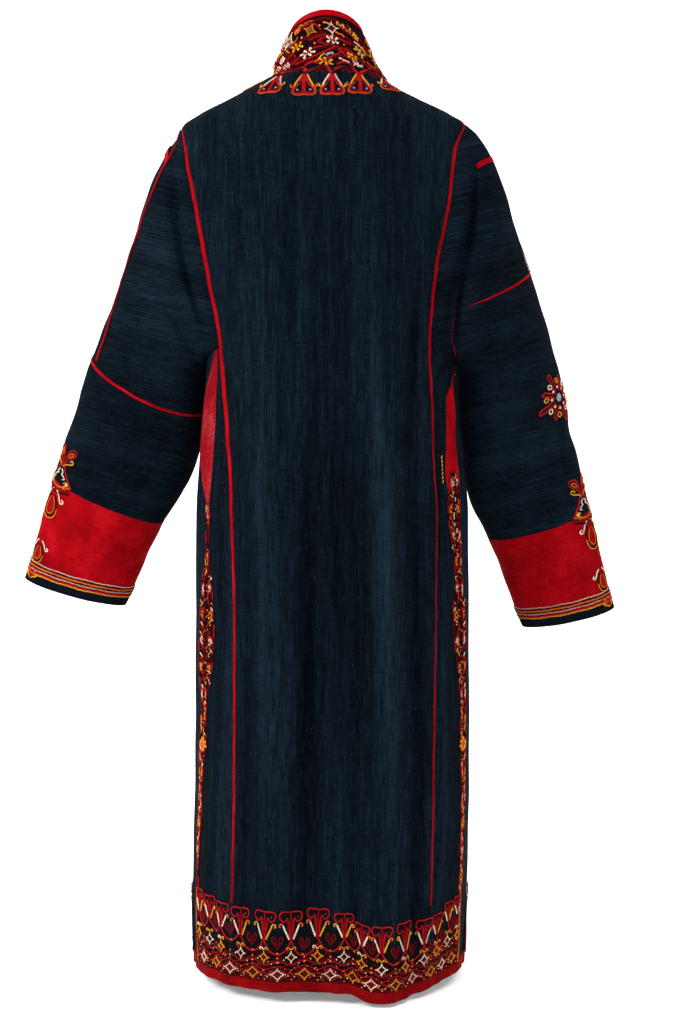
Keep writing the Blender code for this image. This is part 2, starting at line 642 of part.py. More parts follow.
def overarm_length(side):
    """Length of a sleeve along its outer line."""
    rings = SLEEVE_RINGS[side]
    line = np.array([(ring.outer_x, ring.middle_y, ring.outer_z) for ring in rings])
    return np.linalg.norm(np.diff(line, axis=0), axis=1).sum()


def tube_normals(grid, sign):
    """Directions out of a tube of rings, whose points run from the overarm to the back."""
    step = unit(np.diff(grid, axis=0))
    along = np.concatenate((step[:1], step[1:] + step[:-1], step[-1:]))
    round_it = np.roll(grid, -1, axis=1) - np.roll(grid, 1, axis=1)
    return unit(np.cross(along, round_it)) * sign


def sleeve_piece(name, grid, normal, first, last, trims, colour="navy", proud=0.0):
    """Part of a sleeve between two of its rings."""
    cut = trimmed(grid[first : last + 1], trims)
    out = normal[first : last + 1]
    return outward_faces(wall(name, cut + out * proud, cut - out * WALL, colour, tube=True))


def sleeve(side):
    """The pieces of one sleeve: upper part, piping, lower part, cuff and the cuff's dark edge."""
    grid, normal, marks = sleeve_grid(side)
    grid[0] += unit(grid[1] - grid[0]) * SEAM_GAP
    both = ("bottom", "top")
    sleeve_piece(f"sleeve_upper_{side}", grid, normal, marks[0], marks[1], ("top",))
    sleeve_piece(f"sleeve_piping_{side}", grid, normal, marks[1], marks[2], both, "red", PROUD)
    sleeve_piece(f"sleeve_lower_{side}", grid, normal, marks[2], marks[3], both)
    sleeve_piece(f"cuff_{side}", grid, normal, marks[3], marks[4], both, "red")
    sleeve_piece(f"cuff_edge_{side}", grid, normal, marks[4], marks[5], ("bottom",), "dark", PROUD)


def collar_grid(angle, share):
    """Outer face of the standing collar at an angle and a share of its height."""
    read = {name: column(COLLAR_LEVELS, "share", name, share) for name in CollarLevel._fields[1:]}
    x, y = ring_point(angle, read["left"], read["right"], read["back"], read["front"])
    z = read["side"] + ring_tilt(angle, read["rise"], read["drop"])
    rumple = COLLAR_RUMPLE * np.sin(3.1 * angle + 9.0 * share) * np.sin(np.pi * share)
    points = np.stack(np.broadcast_arrays(x, y, z), axis=-1)
    outward = np.stack(np.broadcast_arrays(np.sin(angle), np.cos(angle), 0.0), axis=-1)
    return points + outward * rumple[..., None]


def neck_angles():
    """Angles of the points along the neck, the same as those of the panels that the collar is sewn to."""
    neck = np.array([NECK])
    front = np.linspace(np.pi / 2, front_edge(neck, FRONT_BINDING_WIDTH)[0], FRONT_COLUMNS + 1)
    half = np.concatenate((front[1:], front_edge(neck)))
    back = np.linspace(-np.pi / 2, np.pi / 2, BACK_COLUMNS + 1)
    return np.concatenate((-half[::-1], back, half))


def collar_piece(name, low, high, rows, trims, colour, proud):
    """Part of the collar between two shares of its height, open at the front."""
    share = np.linspace(low, high, rows + 1)[:, None]
    share, angle = np.broadcast_arrays(share, neck_angles()[None, :])
    up = collar_grid(angle, share + 0.01) - collar_grid(angle, share - 0.01)
    round_it = collar_grid(angle + 0.01, share) - collar_grid(angle - 0.01, share)
    normal = unit(np.cross(up, round_it) * np.array([1.0, 1.0, 0.0]))
    grid = trimmed(collar_grid(angle, share), trims)
    return outward_faces(wall(name, grid + normal * proud, grid - normal * COLLAR_WALL, colour))


def collar():
    """Standing collar and the red binding along its top."""
    lift = SEAM_GAP / 0.07
    collar_piece("collar", lift, COLLAR_BINDING_SHARE, COLLAR_ROWS, ("top",), "embroidery", 0.0)
    collar_piece("collar_binding", COLLAR_BINDING_SHARE, 1.0, 2, ("bottom",), "red", PROUD)


def shoulder_piping(side):
    """Thin red piping over the shoulder seam, from the neck to the tip of the shoulder."""
    heights = between(TIP[side], NECK)
    heights[-1] -= PIPING_STOP
    height = heights[:, None]
    ridge = np.full(height.shape, SIGN[side] * np.pi / 2)
    normal = body_normal(ridge, height)
    across = np.array([1.0, 0.0, -1.0])[:, None] * np.array([0.0, SHOULDER_PIPING_WIDTH / 2, 0.0])
    grid = trimmed(body(ridge, height) + across + normal * PIPING_LIFT, ("bottom", "top"))
    name = f"shoulder_piping_{side}"
    return outward_faces(wall(name, grid + normal * TRIM_WALL, grid, "red"))


def sleeve_trim(side):
    """Thin red piping down the overarm, laid on the sleeve."""
    grid, normal, marks = sleeve_grid(side)
    last = marks[1]
    top = grid[:last, 0]
    half = SHOULDER_PIPING_WIDTH / 2
    sides = [unit(grid[:last, near] - top) * half for near in (-1, 1)]
    strip = np.stack((top + sides[0], top, top + sides[1]), axis=1)
    strip[0] += unit(strip[1] - strip[0]) * PIPING_STOP
    strip = trimmed(strip, ("top",)) + normal[:last, :1] * PIPING_LIFT
    name = f"overarm_piping_{side}"
    outward_faces(wall(name, strip + normal[:last, :1] * TRIM_WALL, strip, "red"))


def shoulder_bar(side):
    """Short red bar across the sleeve's cap, laid on the sleeve."""
    grid, normal, marks = sleeve_grid(side)
    _, turn = armhole(side)
    bar = SHOULDER_BARS[side]
    places = bar.share / CROSS_SEAMS[side][0].share * UPPER_RINGS
    row = int(places)
    reach = bar.width / 2 / np.linalg.norm(grid[row + 1, 0] - grid[row, 0])
    shares = np.clip(places - row + np.array([[-reach], [reach]]), 0.0, 1.0)[..., None]
    ends = np.radians([bar.start, bar.end])
    turns = np.concatenate((ends[:1], turn[(turn > ends[0]) & (turn < ends[1])], ends[1:]))
    near, out = (
        np.stack([[np.interp(turns, turn, line[:, axis]) for axis in range(3)] for line in lines[row : row + 2]])
        for lines in (grid, normal)
    )
    near, out = near.transpose(0, 2, 1), out.transpose(0, 2, 1)
    out = unit(out[0] + out[1])
    base = near[:1] * (1 - shares) + near[1:] * shares + out * BAR_LIFT
    outward_faces(wall(f"shoulder_bar_{side}", base + out * TRIM_WALL, base, "red"))


def clear_scene():
    """Remove whatever the open file holds."""
    for old in list(bpy.data.objects):
        bpy.data.objects.remove(old, do_unlink=True)


def main():
    """Build every piece of the coat."""
    clear_scene()
    back_panel()
    for side in SIGN:
        front_panel(side)
        front_binding(side)
        for which in ("back", "front"):
            seam_strip(side, which)
        gusset(side)
        gore_back(side)
        gore_front(side)
        sleeve(side)
        shoulder_piping(side)
        sleeve_trim(side)
        shoulder_bar(side)
    hem_binding()
    collar()


main()
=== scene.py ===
"""A chapan, the long open coat of Central Asia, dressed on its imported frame.

The wearer would face -Y, so +Y is the back of the coat and +X the wearer's left. The origin is the middle of
the neck and +Z is up. Lengths are metres, and the lines of the embroidery are drawn in millimetres.
"""

import json
import logging
from collections.abc import Callable, Sequence
from dataclasses import dataclass, field
from enum import Enum
from typing import NamedTuple

import bpy
import numpy as np
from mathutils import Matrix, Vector

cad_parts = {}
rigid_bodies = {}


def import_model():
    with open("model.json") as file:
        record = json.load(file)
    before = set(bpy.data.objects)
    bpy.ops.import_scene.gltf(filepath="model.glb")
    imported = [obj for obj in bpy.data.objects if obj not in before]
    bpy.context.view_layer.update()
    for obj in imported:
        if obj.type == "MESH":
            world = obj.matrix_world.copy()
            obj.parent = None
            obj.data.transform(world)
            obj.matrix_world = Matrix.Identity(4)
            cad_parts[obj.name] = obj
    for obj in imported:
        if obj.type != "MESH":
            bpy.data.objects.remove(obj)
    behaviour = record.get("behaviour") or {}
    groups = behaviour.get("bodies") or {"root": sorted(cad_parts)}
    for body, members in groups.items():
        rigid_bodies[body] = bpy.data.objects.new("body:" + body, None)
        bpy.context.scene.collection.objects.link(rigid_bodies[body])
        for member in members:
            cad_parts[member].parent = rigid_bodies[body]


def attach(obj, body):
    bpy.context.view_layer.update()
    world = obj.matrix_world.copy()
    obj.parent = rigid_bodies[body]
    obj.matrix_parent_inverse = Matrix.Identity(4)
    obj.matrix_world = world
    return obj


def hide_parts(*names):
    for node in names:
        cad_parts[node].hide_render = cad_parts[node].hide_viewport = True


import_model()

LOG = logging.getLogger("chapan")
BODY = "root"
MM = 0.001

Array = np.ndarray
Piece = bpy.types.Object
Socket = bpy.types.NodeSocket
Material = bpy.types.Material
Colour = tuple[float, float, float]
Point = tuple[float, float]
Curve = Callable[[np.ndarray], np.ndarray]

# Cloth and seams
WALL = 0.002
COLLAR_WALL = 0.003
SEAM_GAP = 0.0003
PROUD = 0.0006
TRIM_WALL = 0.0012
PIPING_LIFT = 0.00036

# Heights of the long seams
HEM = -1.141
HEM_BINDING_WIDTH = 0.017
HEM_TOP = HEM + HEM_BINDING_WIDTH
UNDERARM = -0.335
NECK = 0.006
GUSSET_FOOT = -0.548
SLOPE_START = -0.10

# Widths of the narrow pieces
FRONT_BINDING_WIDTH = 0.010
FRONT_GAP_AT_NECK = 0.010
FRONT_GAP_AT_HEM = 0.024
COLLAR_BINDING_SHARE = 0.895
PIPING_WIDTH = 0.004
SHOULDER_PIPING_WIDTH = 0.0035
OVERARM_PIPING_WIDTH = 0.0024
CUFF_EDGE_WIDTH = 0.013
LEAST_WIDTH = 0.0025
STRIP_SHARE = 0.82
ALLOWANCE = 0.0028

# Spacing of the points on the cloth
CLOTH_STEP = 0.0055
SLOPE_STEP = 0.0022
ARM_SLANT = 0.26
SHARE_STEP = 0.004
TURN_STEP = 0.02


class Side(Enum):
    """The wearer's left or right side."""

    LEFT = "left"
    RIGHT = "right"

    @property
    def sign(self) -> float:
        """1 on the side of +X and -1 on the other."""
        return 1.0 if self is Side.LEFT else -1.0


class Warp(Enum):
    """Which way the warp threads of a piece run on its UV map."""

    DOWN = "down"
    ACROSS = "across"


class Thread(Enum):
    """Colour of an embroidery thread: linear red, green and blue."""

    RED = (0.27, 0.0045, 0.006)
    CRIMSON = (0.115, 0.002, 0.004)
    MAROON = (0.030, 0.0016, 0.0026)
    ORANGE = (0.47, 0.078, 0.007)
    YELLOW = (0.50, 0.225, 0.012)
    CREAM = (0.56, 0.48, 0.36)
    PINK = (0.40, 0.24, 0.20)
    GREY = (0.17, 0.21, 0.25)
    BLACK = (0.0016, 0.0018, 0.0026)
    PURPLE = (0.016, 0.003, 0.016)


RED, CRIMSON, MAROON, ORANGE, YELLOW, CREAM, PINK, GREY, BLACK, PURPLE = Thread


# ---------------------------------------------------------------- curves


def smooth(places: Array, values: Array, at: Array) -> Array:
    """Read a smooth curve through a table that doesn't swing past its values.

    Formula: a cubic between each two places, whose slope at a place is the harmonic mean of the slopes before
    and after it, or flat where they have opposite signs.

    Args:
        places: rising places of the table's rows.
        values: the column's value at each place.
        at: places to read.

    Returns:
        The curve at those places.
    """
    at = np.clip(at, places[0], places[-1])
    rise = np.diff(values) / np.diff(places)
    before = np.concatenate((rise[:1], rise))
    after = np.concatenate((rise, rise[-1:]))
    same_way = before * after > 0
    total = np.where(same_way, before + after, 1.0)
    slope = np.where(same_way, 2.0 * before * after / total, 0.0)
    i = np.clip(np.searchsorted(places, at, side="right") - 1, 0, len(places) - 2)
    step = places[i + 1] - places[i]
    t = (at - places[i]) / step
    start = (1 + 2 * t) * (1 - t) ** 2 * values[i] + t * (1 - t) ** 2 * step * slope[i]
    end = t * t * (3 - 2 * t) * values[i + 1] - t * t * (1 - t) * step * slope[i + 1]
    return start + end


class Table:
    """Rows of numbers in named columns, read as smooth curves by the first, rising one."""

    def __init__(self, names: str, *rows: tuple[float, ...]) -> None:
        """Keep the columns by their names."""
        self.columns = dict(zip(names.split(), np.array(rows).T))
        self.first, *self.others = self.columns

    def read(self, name: str, at: Array) -> Array:
        """Return one column's curve at given places of the first column."""
        return smooth(self.columns[self.first], self.columns[name], np.asarray(at, float))

    def read_all(self, at: Array) -> dict[str, Array]:
        """Return every other column's curve at given places of the first column."""
        return {name: self.read(name, at) for name in self.others}


def unit(vectors: Array) -> Array:
    """Return vectors at length one."""
    return vectors / np.maximum(np.linalg.norm(vectors, axis=-1, keepdims=True), 1e-12)


def bell_curve(away: Array) -> Array:
    """Return a bell by the distance from its middle, in half widths."""
    return np.exp(-(away**2))


def eased(place: Array, start: float, end: float) -> Array:
    """Return how far places have come from a start to an end, kept between 0 and 1."""
    return np.clip((place - start) / (end - start), 0.0, 1.0)


def run_length(points: Array) -> Array:
    """Return the distance along a line at each of its points."""
    steps = np.linalg.norm(np.diff(points, axis=0), axis=1)
    return np.concatenate(([0.0], np.cumsum(steps)))


def ring(angle: Array, level: dict[str, Array]) -> tuple[Array, Array, Array]:
    """Find a point of a rounded ring, tilted at the shoulders.

    Formula: a superellipse, sine and cosine of the angle over the root of the sum of their powers, stretched
    to the half widths and half depths. A power of the cosine lifts its back and lowers its front.

    Args:
        angle: radians from the middle of the back towards the wearer's left.
        level: half widths left and right, half depths back and front, and the rise and the drop.

    Returns:
        x and y of the point, and how far it lies above the ring's sides.
    """
    sine, cosine = np.sin(angle), np.cos(angle)
    swell = (np.abs(sine) ** BOXINESS + np.abs(cosine) ** BOXINESS) ** (-1.0 / BOXINESS)
    x = (level["left"] - level["right"]) / 2 + (level["left"] + level["right"]) / 2 * sine * swell
    y = np.where(cosine > 0, level["back"], level["front"]) * cosine * swell
    return x, y, np.where(cosine > 0, level["rise"], -level["drop"]) * np.abs(cosine) ** TILT_POWER


def spline(points: Sequence[Point], step: float = 2.0) -> Array:
    """Draw a smooth line through a stroke's points.

    Formula: a Catmull-Rom curve, whose slope at a point is half the way from the one before to the one after.

    Args:
        points: the stroke's points in millimetres.
        step: rough spacing of the line's points in millimetres.

    Returns:
        Points of the line, one row each.
    """
    given = np.array(points, float)
    ends = np.concatenate((2 * given[:1] - given[1:2], given, 2 * given[-1:] - given[-2:-1]))
    count = max(3, int(np.ceil(np.linalg.norm(np.diff(given, axis=0), axis=1).sum() / step)) + 1)
    at = np.linspace(0, len(given) - 1, count)
    i = np.minimum(at.astype(int), len(given) - 2)
    t = (at - i)[:, None]
    a, b, c, d = (ends[i + k] for k in range(4))
    return 0.5 * (2 * b + (c - a) * t + (2 * a - 5 * b + 4 * c - d) * t**2 + (3 * b - a - 3 * c + d) * t**3)


# ---------------------------------------------------------------- sizes of the coat


class Fold(NamedTuple):
    """A long fold of the body: degrees at its low and high end, heights, half width in degrees and rise."""

    low_angle: float
    high_angle: float
    low: float
    high: float
    spread: float
    rise: float


class SleeveFold(NamedTuple):
    """A fold across a sleeve: start and end in degrees round the arm, share at each, half width and rise."""

    start: float
    end: float
    start_share: float
    end_share: float
    spread: float
    rise: float


class SleeveCrease(NamedTuple):
    """A crease down a sleeve: shares of its ends, degrees round the arm, drift, half width and rise."""

    start: float
    end: float
    turn: float
    drift: float
    spread: float
    rise: float


class Bar(NamedTuple):
    """The short bar on a sleeve's cap: degrees and share of its two ends, and its width."""

    turn: float
    share: float
    end_turn: float
    end_share: float
    width: float


def rows(kind: type[NamedTuple], *values: tuple[float, ...]) -> tuple:
    """Return rows of one kind, one for each tuple of values."""
    return tuple(kind(*value) for value in values)


# The rings of the body by the height of its sides, and of the collar by the share of its height
BODY_LEVELS = Table(
    "height left right back front rise drop",
    (-1.141, 0.1795, 0.1720, 0.154, 0.150, 0.000, 0.000),
    (-1.060, 0.1810, 0.1755, 0.152, 0.147, 0.000, 0.000),
    (-0.900, 0.1785, 0.1795, 0.147, 0.142, 0.000, 0.000),
    (-0.700, 0.1770, 0.1790, 0.139, 0.135, 0.000, 0.000),
    (-0.550, 0.1760, 0.1775, 0.131, 0.128, 0.000, 0.000),
    (-0.480, 0.1715, 0.1710, 0.127, 0.125, 0.000, 0.000),
    (-0.420, 0.1670, 0.1655, 0.124, 0.122, 0.000, 0.000),
    (-0.335, 0.1600, 0.1570, 0.120, 0.118, 0.000, 0.000),
    (-0.250, 0.1730, 0.1630, 0.117, 0.115, 0.000, 0.000),
    (-0.150, 0.1890, 0.1760, 0.111, 0.108, 0.000, 0.004),
    (-0.090, 0.1960, 0.1805, 0.103, 0.101, 0.002, 0.016),
    (-0.055, 0.1925, 0.1760, 0.094, 0.094, 0.004, 0.030),
    (-0.037, 0.1685, 0.1520, 0.088, 0.088, 0.006, 0.040),
    (-0.022, 0.1380, 0.1190, 0.082, 0.082, 0.008, 0.048), (0.000, 0.0920, 0.0755, 0.073, 0.074, 0.011, 0.058),
    (0.006, 0.0760, 0.0700, 0.070, 0.072, 0.012, 0.060),
)
COLLAR_LEVELS = Table(
    "share left right back front side rise drop",
    (0.00, 0.0760, 0.0700, 0.070, 0.072, 0.006, 0.012, 0.060),
    (0.25, 0.0720, 0.0600, 0.064, 0.067, 0.022, 0.013, 0.056),
    (0.50, 0.0670, 0.0526, 0.057, 0.061, 0.037, 0.015, 0.052),
    (0.75, 0.0600, 0.0455, 0.050, 0.055, 0.052, 0.020, 0.048),
    (1.00, 0.0530, 0.0405, 0.044, 0.050, 0.066, 0.025, 0.043),
)
BOXINESS = 2.2
TILT_POWER = 1.5
COLLAR_RUMPLE = 0.0012

# Degrees round from the middle of the back to each long seam, and the red strip's width
SEAM_COLUMNS = "height back gusset_back gusset_front front strip"
SEAMS = {
    Side.LEFT: Table(
        SEAM_COLUMNS,
        (-1.141, 41.4, 69.0, 70.0, 137.0, 0.0036), (-1.000, 41.4, 69.0, 70.0, 137.0, 0.0036),
        (-0.900, 41.5, 67.0, 68.0, 136.5, 0.0037), (-0.800, 41.6, 63.5, 64.5, 136.0, 0.0038),
        (-0.700, 42.0, 61.5, 62.5, 135.0, 0.0040), (-0.600, 42.7, 60.5, 61.5, 134.0, 0.0045),
        (-0.548, 43.8, 59.8, 60.8, 133.0, 0.0050), (-0.500, 45.1, 58.8, 72.0, 132.0, 0.0058),
        (-0.450, 48.1, 58.9, 94.0, 130.0, 0.0068), (-0.420, 49.9, 59.0, 92.0, 128.0, 0.0075),
        (-0.390, 53.0, 60.0, 78.0, 126.0, 0.0080), (-0.360, 56.0, 61.0, 70.0, 124.0, 0.0085),
        (-0.335, 58.5, 62.0, 65.0, 122.5, 0.0088), (-0.250, 60.3, 63.0, 118.0, 121.0, 0.0090),
        (-0.150, 63.1, 66.0, 116.0, 118.0, 0.0090), (-0.090, 66.5, 70.0, 111.0, 112.0, 0.0080),
        (-0.062, 75.0, 78.0, 102.0, 104.0, 0.0050), (-0.050, 88.8, 89.5, 90.5, 91.2, 0.0014),
    ),
    Side.RIGHT: Table(
        SEAM_COLUMNS,
        (-1.141, 43.7, 66.0, 67.0, 137.0, 0.0028), (-1.000, 43.7, 66.5, 67.5, 137.0, 0.0028),
        (-0.900, 43.9, 67.0, 68.0, 136.5, 0.0028), (-0.800, 44.4, 66.8, 67.8, 136.0, 0.0028),
        (-0.700, 45.5, 64.0, 65.0, 135.0, 0.0028), (-0.600, 46.6, 61.0, 62.0, 134.0, 0.0028),
        (-0.548, 47.0, 58.5, 59.5, 133.0, 0.0030), (-0.500, 47.4, 54.6, 68.0, 132.0, 0.0032),
        (-0.450, 48.3, 57.6, 68.5, 130.0, 0.0034), (-0.420, 48.8, 59.4, 70.5, 128.0, 0.0036),
        (-0.400, 49.1, 61.0, 71.5, 126.8, 0.0038), (-0.380, 49.5, 70.0, 74.0, 125.4, 0.0041),
        (-0.335, 50.2, 96.0, 100.0, 122.5, 0.0046), (-0.250, 51.2, 66.0, 118.0, 121.0, 0.0055),
        (-0.150, 55.7, 62.0, 116.0, 118.0, 0.0060), (-0.090, 57.5, 64.0, 111.0, 112.0, 0.0060),
        (-0.050, 74.0, 78.0, 102.0, 104.0, 0.0040), (-0.036, 88.8, 89.5, 90.5, 91.2, 0.0014),
    ),
}
TIP = {Side.LEFT: -0.050, Side.RIGHT: -0.036}

# The main folds of the hanging coat, as on its solids, and then the finer creases between them
BODY_FOLDS = rows(
    Fold,
    (-25.0, -16.0, -1.30, -0.62, 13.0, 0.030), (-35.0, -29.0, -1.30, -0.55, 4.0, -0.008),
    (2.0, 4.0, -1.30, -0.45, 8.0, -0.004), (42.0, 40.0, -1.30, -0.70, 14.0, 0.006),
    (22.0, 18.0, -1.30, -0.40, 8.0, 0.004), (-3.0, -6.0, -0.80, -0.12, 7.0, 0.003),
    (-38.0, -33.0, -0.60, -0.10, 6.0, 0.004), (33.0, 36.0, -0.55, -0.08, 6.0, 0.004),
    (52.0, 54.0, -1.30, -0.55, 5.0, -0.004), (-55.0, -55.0, -1.30, -0.55, 5.0, -0.004),
    (100.0, 104.0, -1.30, -0.45, 9.0, 0.004), (-98.0, -102.0, -1.30, -0.45, 9.0, 0.004),
    (152.0, 150.0, -1.30, -0.40, 7.0, 0.007), (-150.0, -152.0, -1.30, -0.35, 8.0, 0.006),
    (165.0, 163.0, -1.00, -0.20, 5.0, -0.004),
)
BODY_CREASES = rows(
    Fold,
    (9.5, 7.5, -1.12, -0.20, 6.4, -0.0100), (-11.2, -9.0, -1.12, -0.26, 3.8, -0.0092),
    (24.5, 22.5, -1.12, -0.14, 6.0, 0.0040), (1.0, 0.5, -1.12, -0.40, 3.0, 0.0014),
    (-36.0, -34.0, -1.12, -0.24, 3.4, -0.0040), (36.0, 35.0, -1.12, -0.30, 3.0, -0.0040),
    (-22.0, -21.0, -1.00, -0.10, 6.0, 0.0040), (-10.5, -7.0, -1.30, -0.92, 2.4, -0.0034),
    (-16.5, -12.5, -1.30, -0.80, 4.0, 0.0060), (-4.0, -2.5, -1.30, -0.72, 2.4, 0.0046),
    (15.5, 14.0, -1.30, -0.62, 2.6, -0.0026), (30.0, 27.0, -1.30, -0.66, 3.0, -0.0040),
    (22.0, 18.0, -1.30, -0.52, 3.4, 0.0034), (-29.0, -24.0, -1.30, -0.72, 3.0, -0.0054),
    (-21.0, -17.5, -1.30, -0.80, 2.6, 0.0034), (5.0, 6.5, -1.05, -0.30, 2.6, 0.0032),
    (-5.5, -3.0, -1.00, -0.22, 2.4, -0.0040), (-17.0, -13.0, -0.92, -0.26, 3.0, -0.0038),
    (-24.0, -20.0, -0.86, -0.18, 2.6, 0.0032), (18.0, 20.0, -0.98, -0.16, 3.0, -0.0034),
    (27.0, 30.0, -0.78, -0.12, 2.6, 0.0030), (-1.0, 1.5, -0.70, -0.08, 2.4, -0.0026),
    (38.0, 44.0, -0.60, -0.20, 2.6, -0.0034), (-36.0, -42.0, -0.52, -0.16, 2.6, -0.0034),
    (-31.0, -38.0, -0.46, -0.10, 2.8, 0.0034), (57.0, 52.0, -1.00, -0.50, 2.4, 0.0022),
    (-51.0, -50.0, -1.02, -0.42, 2.4, 0.0026), (-47.0, -49.0, -0.80, -0.30, 1.8, -0.0034),
    (120.0, 116.0, -1.30, -0.50, 3.0, -0.0046), (-118.0, -115.0, -1.30, -0.48, 3.0, -0.0044),
    (143.0, 140.0, -1.30, -0.30, 2.6, -0.0040), (-141.0, -144.0, -1.30, -0.34, 2.6, -0.0040),
    (159.0, 156.0, -0.90, -0.15, 2.2, 0.0030), (-160.0, -157.0, -1.00, -0.14, 2.2, 0.0030),
    (86.0, 92.0, -1.30, -0.60, 3.0, 0.0026), (-84.0, -90.0, -1.30, -0.62, 3.0, 0.0026),
)
HEM_SAG = 0.0095
HEM_SAG_START = np.radians(-12.0)
HEM_SAG_STEP = np.radians(3.0)
HEM_SAG_ANGLE = np.radians(-27.0)
HEM_SAG_SPREAD = np.radians(22.0)
HEM_SAG_REACH = 0.30

# The rings of the sleeves by the share of the way down the arm
RING_COLUMNS = "share outer_x outer_z inner_x inner_z middle_y half_depth"
SLEEVE_RINGS = {
    Side.LEFT: Table(
        RING_COLUMNS,
        (0.000, 0.1860, -0.0505, 0.1600, -0.3350, 0.000, 0.066),
        (0.053, 0.2065, -0.0800, 0.1620, -0.3345, -0.004, 0.069),
        (0.142, 0.2325, -0.1308, 0.1650, -0.3360, -0.010, 0.072),
        (0.270, 0.2610, -0.2074, 0.1660, -0.3450, -0.022, 0.071),
        (0.404, 0.2900, -0.2850, 0.1655, -0.3640, -0.038, 0.066),
        (0.527, 0.3218, -0.3601, 0.1655, -0.4270, -0.055, 0.058),
        (0.665, 0.3505, -0.4430, 0.1880, -0.5060, -0.072, 0.051),
        (0.780, 0.3750, -0.5119, 0.2284, -0.5722, -0.090, 0.043),
        (1.000, 0.4166, -0.6457, 0.2800, -0.6822, -0.118, 0.030),
    ),
    Side.RIGHT: Table(
        RING_COLUMNS,
        (0.000, 0.1510, -0.0365, 0.1570, -0.3350, 0.000, 0.066),
        (0.042, 0.1745, -0.0553, 0.1590, -0.3340, -0.002, 0.070),
        (0.089, 0.1905, -0.0803, 0.1605, -0.3340, -0.005, 0.074),
        (0.170, 0.2160, -0.1308, 0.1630, -0.3360, -0.010, 0.077),
        (0.285, 0.2470, -0.2074, 0.1650, -0.3450, -0.022, 0.075),
        (0.339, 0.2614, -0.2422, 0.1650, -0.3515, -0.029, 0.072),
        (0.443, 0.2842, -0.3113, 0.1650, -0.3700, -0.042, 0.066),
        (0.522, 0.3001, -0.3641, 0.1650, -0.4040, -0.052, 0.059),
        (0.601, 0.3136, -0.4173, 0.1690, -0.4580, -0.064, 0.055),
        (0.696, 0.3288, -0.4820, 0.1815, -0.5296, -0.078, 0.049),
        (0.796, 0.3470, -0.5488, 0.2101, -0.5887, -0.094, 0.042),
        (1.000, 0.3841, -0.6864, 0.2590, -0.7118, -0.122, 0.030),
    ),
}
FORWARD_LEAN = np.radians(12.0)
LEAN_SHARE = 0.4
ARMHOLE_FADE = 0.36
CROSS_SEAMS = {
    Side.LEFT: Table("turn share", (0.0, 0.505), (60.0, 0.520), (105.0, 0.526), (180.0, 0.508)),
    Side.RIGHT: Table(
        "turn share",
        (0.0, 0.337), (46.0, 0.309), (66.0, 0.286), (82.0, 0.257), (96.0, 0.222), (107.0, 0.187),
        (122.0, 0.146), (145.0, 0.200), (180.0, 0.320),
    ),
}
CUFF_START = {Side.LEFT: 0.772, Side.RIGHT: 0.798}
OVERARM_LINE = Table(
    "share turn",
    (0.0, 4.0), (0.030, 11.0), (0.065, 16.0), (0.140, 19.0), (0.220, 18.0), (0.310, 15.0), (0.370, 17.0),
    (0.425, 23.0), (0.500, 26.0),
)

SLEEVE_FOLDS = {
    Side.LEFT: rows(
        SleeveFold,
        (25.0, 135.0, 0.050, 0.075, 0.022, -0.0060), (20.0, 120.0, 0.150, 0.130, 0.030, 0.0040),
        (-140.0, -30.0, 0.070, 0.050, 0.025, -0.0050), (60.0, 170.0, 0.420, 0.340, 0.030, -0.0030),
        (-20.0, 70.0, 0.600, 0.640, 0.030, -0.0030), (-10.0, 160.0, 0.018, 0.150, 0.017, -0.0100),
        (30.0, 150.0, 0.205, 0.300, 0.014, -0.0022), (10.0, 110.0, 0.330, 0.300, 0.012, 0.0014),
        (40.0, 150.0, 0.470, 0.480, 0.010, -0.0014), (70.0, 170.0, 0.590, 0.560, 0.012, -0.0020),
        (60.0, 175.0, 0.700, 0.640, 0.010, 0.0016), (20.0, 140.0, 0.720, 0.735, 0.009, -0.0014),
        (20.0, 160.0, 0.850, 0.862, 0.009, 0.0013), (10.0, 150.0, 0.890, 0.905, 0.008, -0.0012),
        (-150.0, -30.0, 0.300, 0.240, 0.020, -0.0025), (-150.0, -40.0, 0.560, 0.520, 0.016, 0.0018),
        (-140.0, -20.0, 0.680, 0.700, 0.012, -0.0016),
    ),
    Side.RIGHT: rows(
        SleeveFold,
        (40.0, 140.0, 0.070, 0.120, 0.026, -0.0090), (20.0, 110.0, 0.170, 0.200, 0.035, 0.0040),
        (-140.0, -30.0, 0.070, 0.050, 0.025, -0.0050), (50.0, 170.0, 0.480, 0.430, 0.030, -0.0030),
        (-30.0, 60.0, 0.620, 0.670, 0.030, -0.0030), (10.0, 160.0, 0.030, 0.215, 0.020, -0.0120),
        (30.0, 165.0, 0.110, 0.190, 0.016, -0.0045), (15.0, 120.0, 0.250, 0.235, 0.012, 0.0016),
        (30.0, 150.0, 0.385, 0.350, 0.010, -0.0016), (60.0, 170.0, 0.560, 0.520, 0.012, 0.0018),
        (50.0, 160.0, 0.625, 0.600, 0.009, -0.0016), (30.0, 150.0, 0.700, 0.705, 0.010, -0.0016),
        (50.0, 170.0, 0.755, 0.740, 0.008, 0.0014), (20.0, 160.0, 0.858, 0.866, 0.009, 0.0012),
        (10.0, 150.0, 0.900, 0.912, 0.008, -0.0012), (-150.0, -30.0, 0.240, 0.200, 0.020, -0.0025),
        (-150.0, -40.0, 0.500, 0.460, 0.016, 0.0018), (-140.0, -20.0, 0.660, 0.690, 0.012, -0.0016),
    ),
}
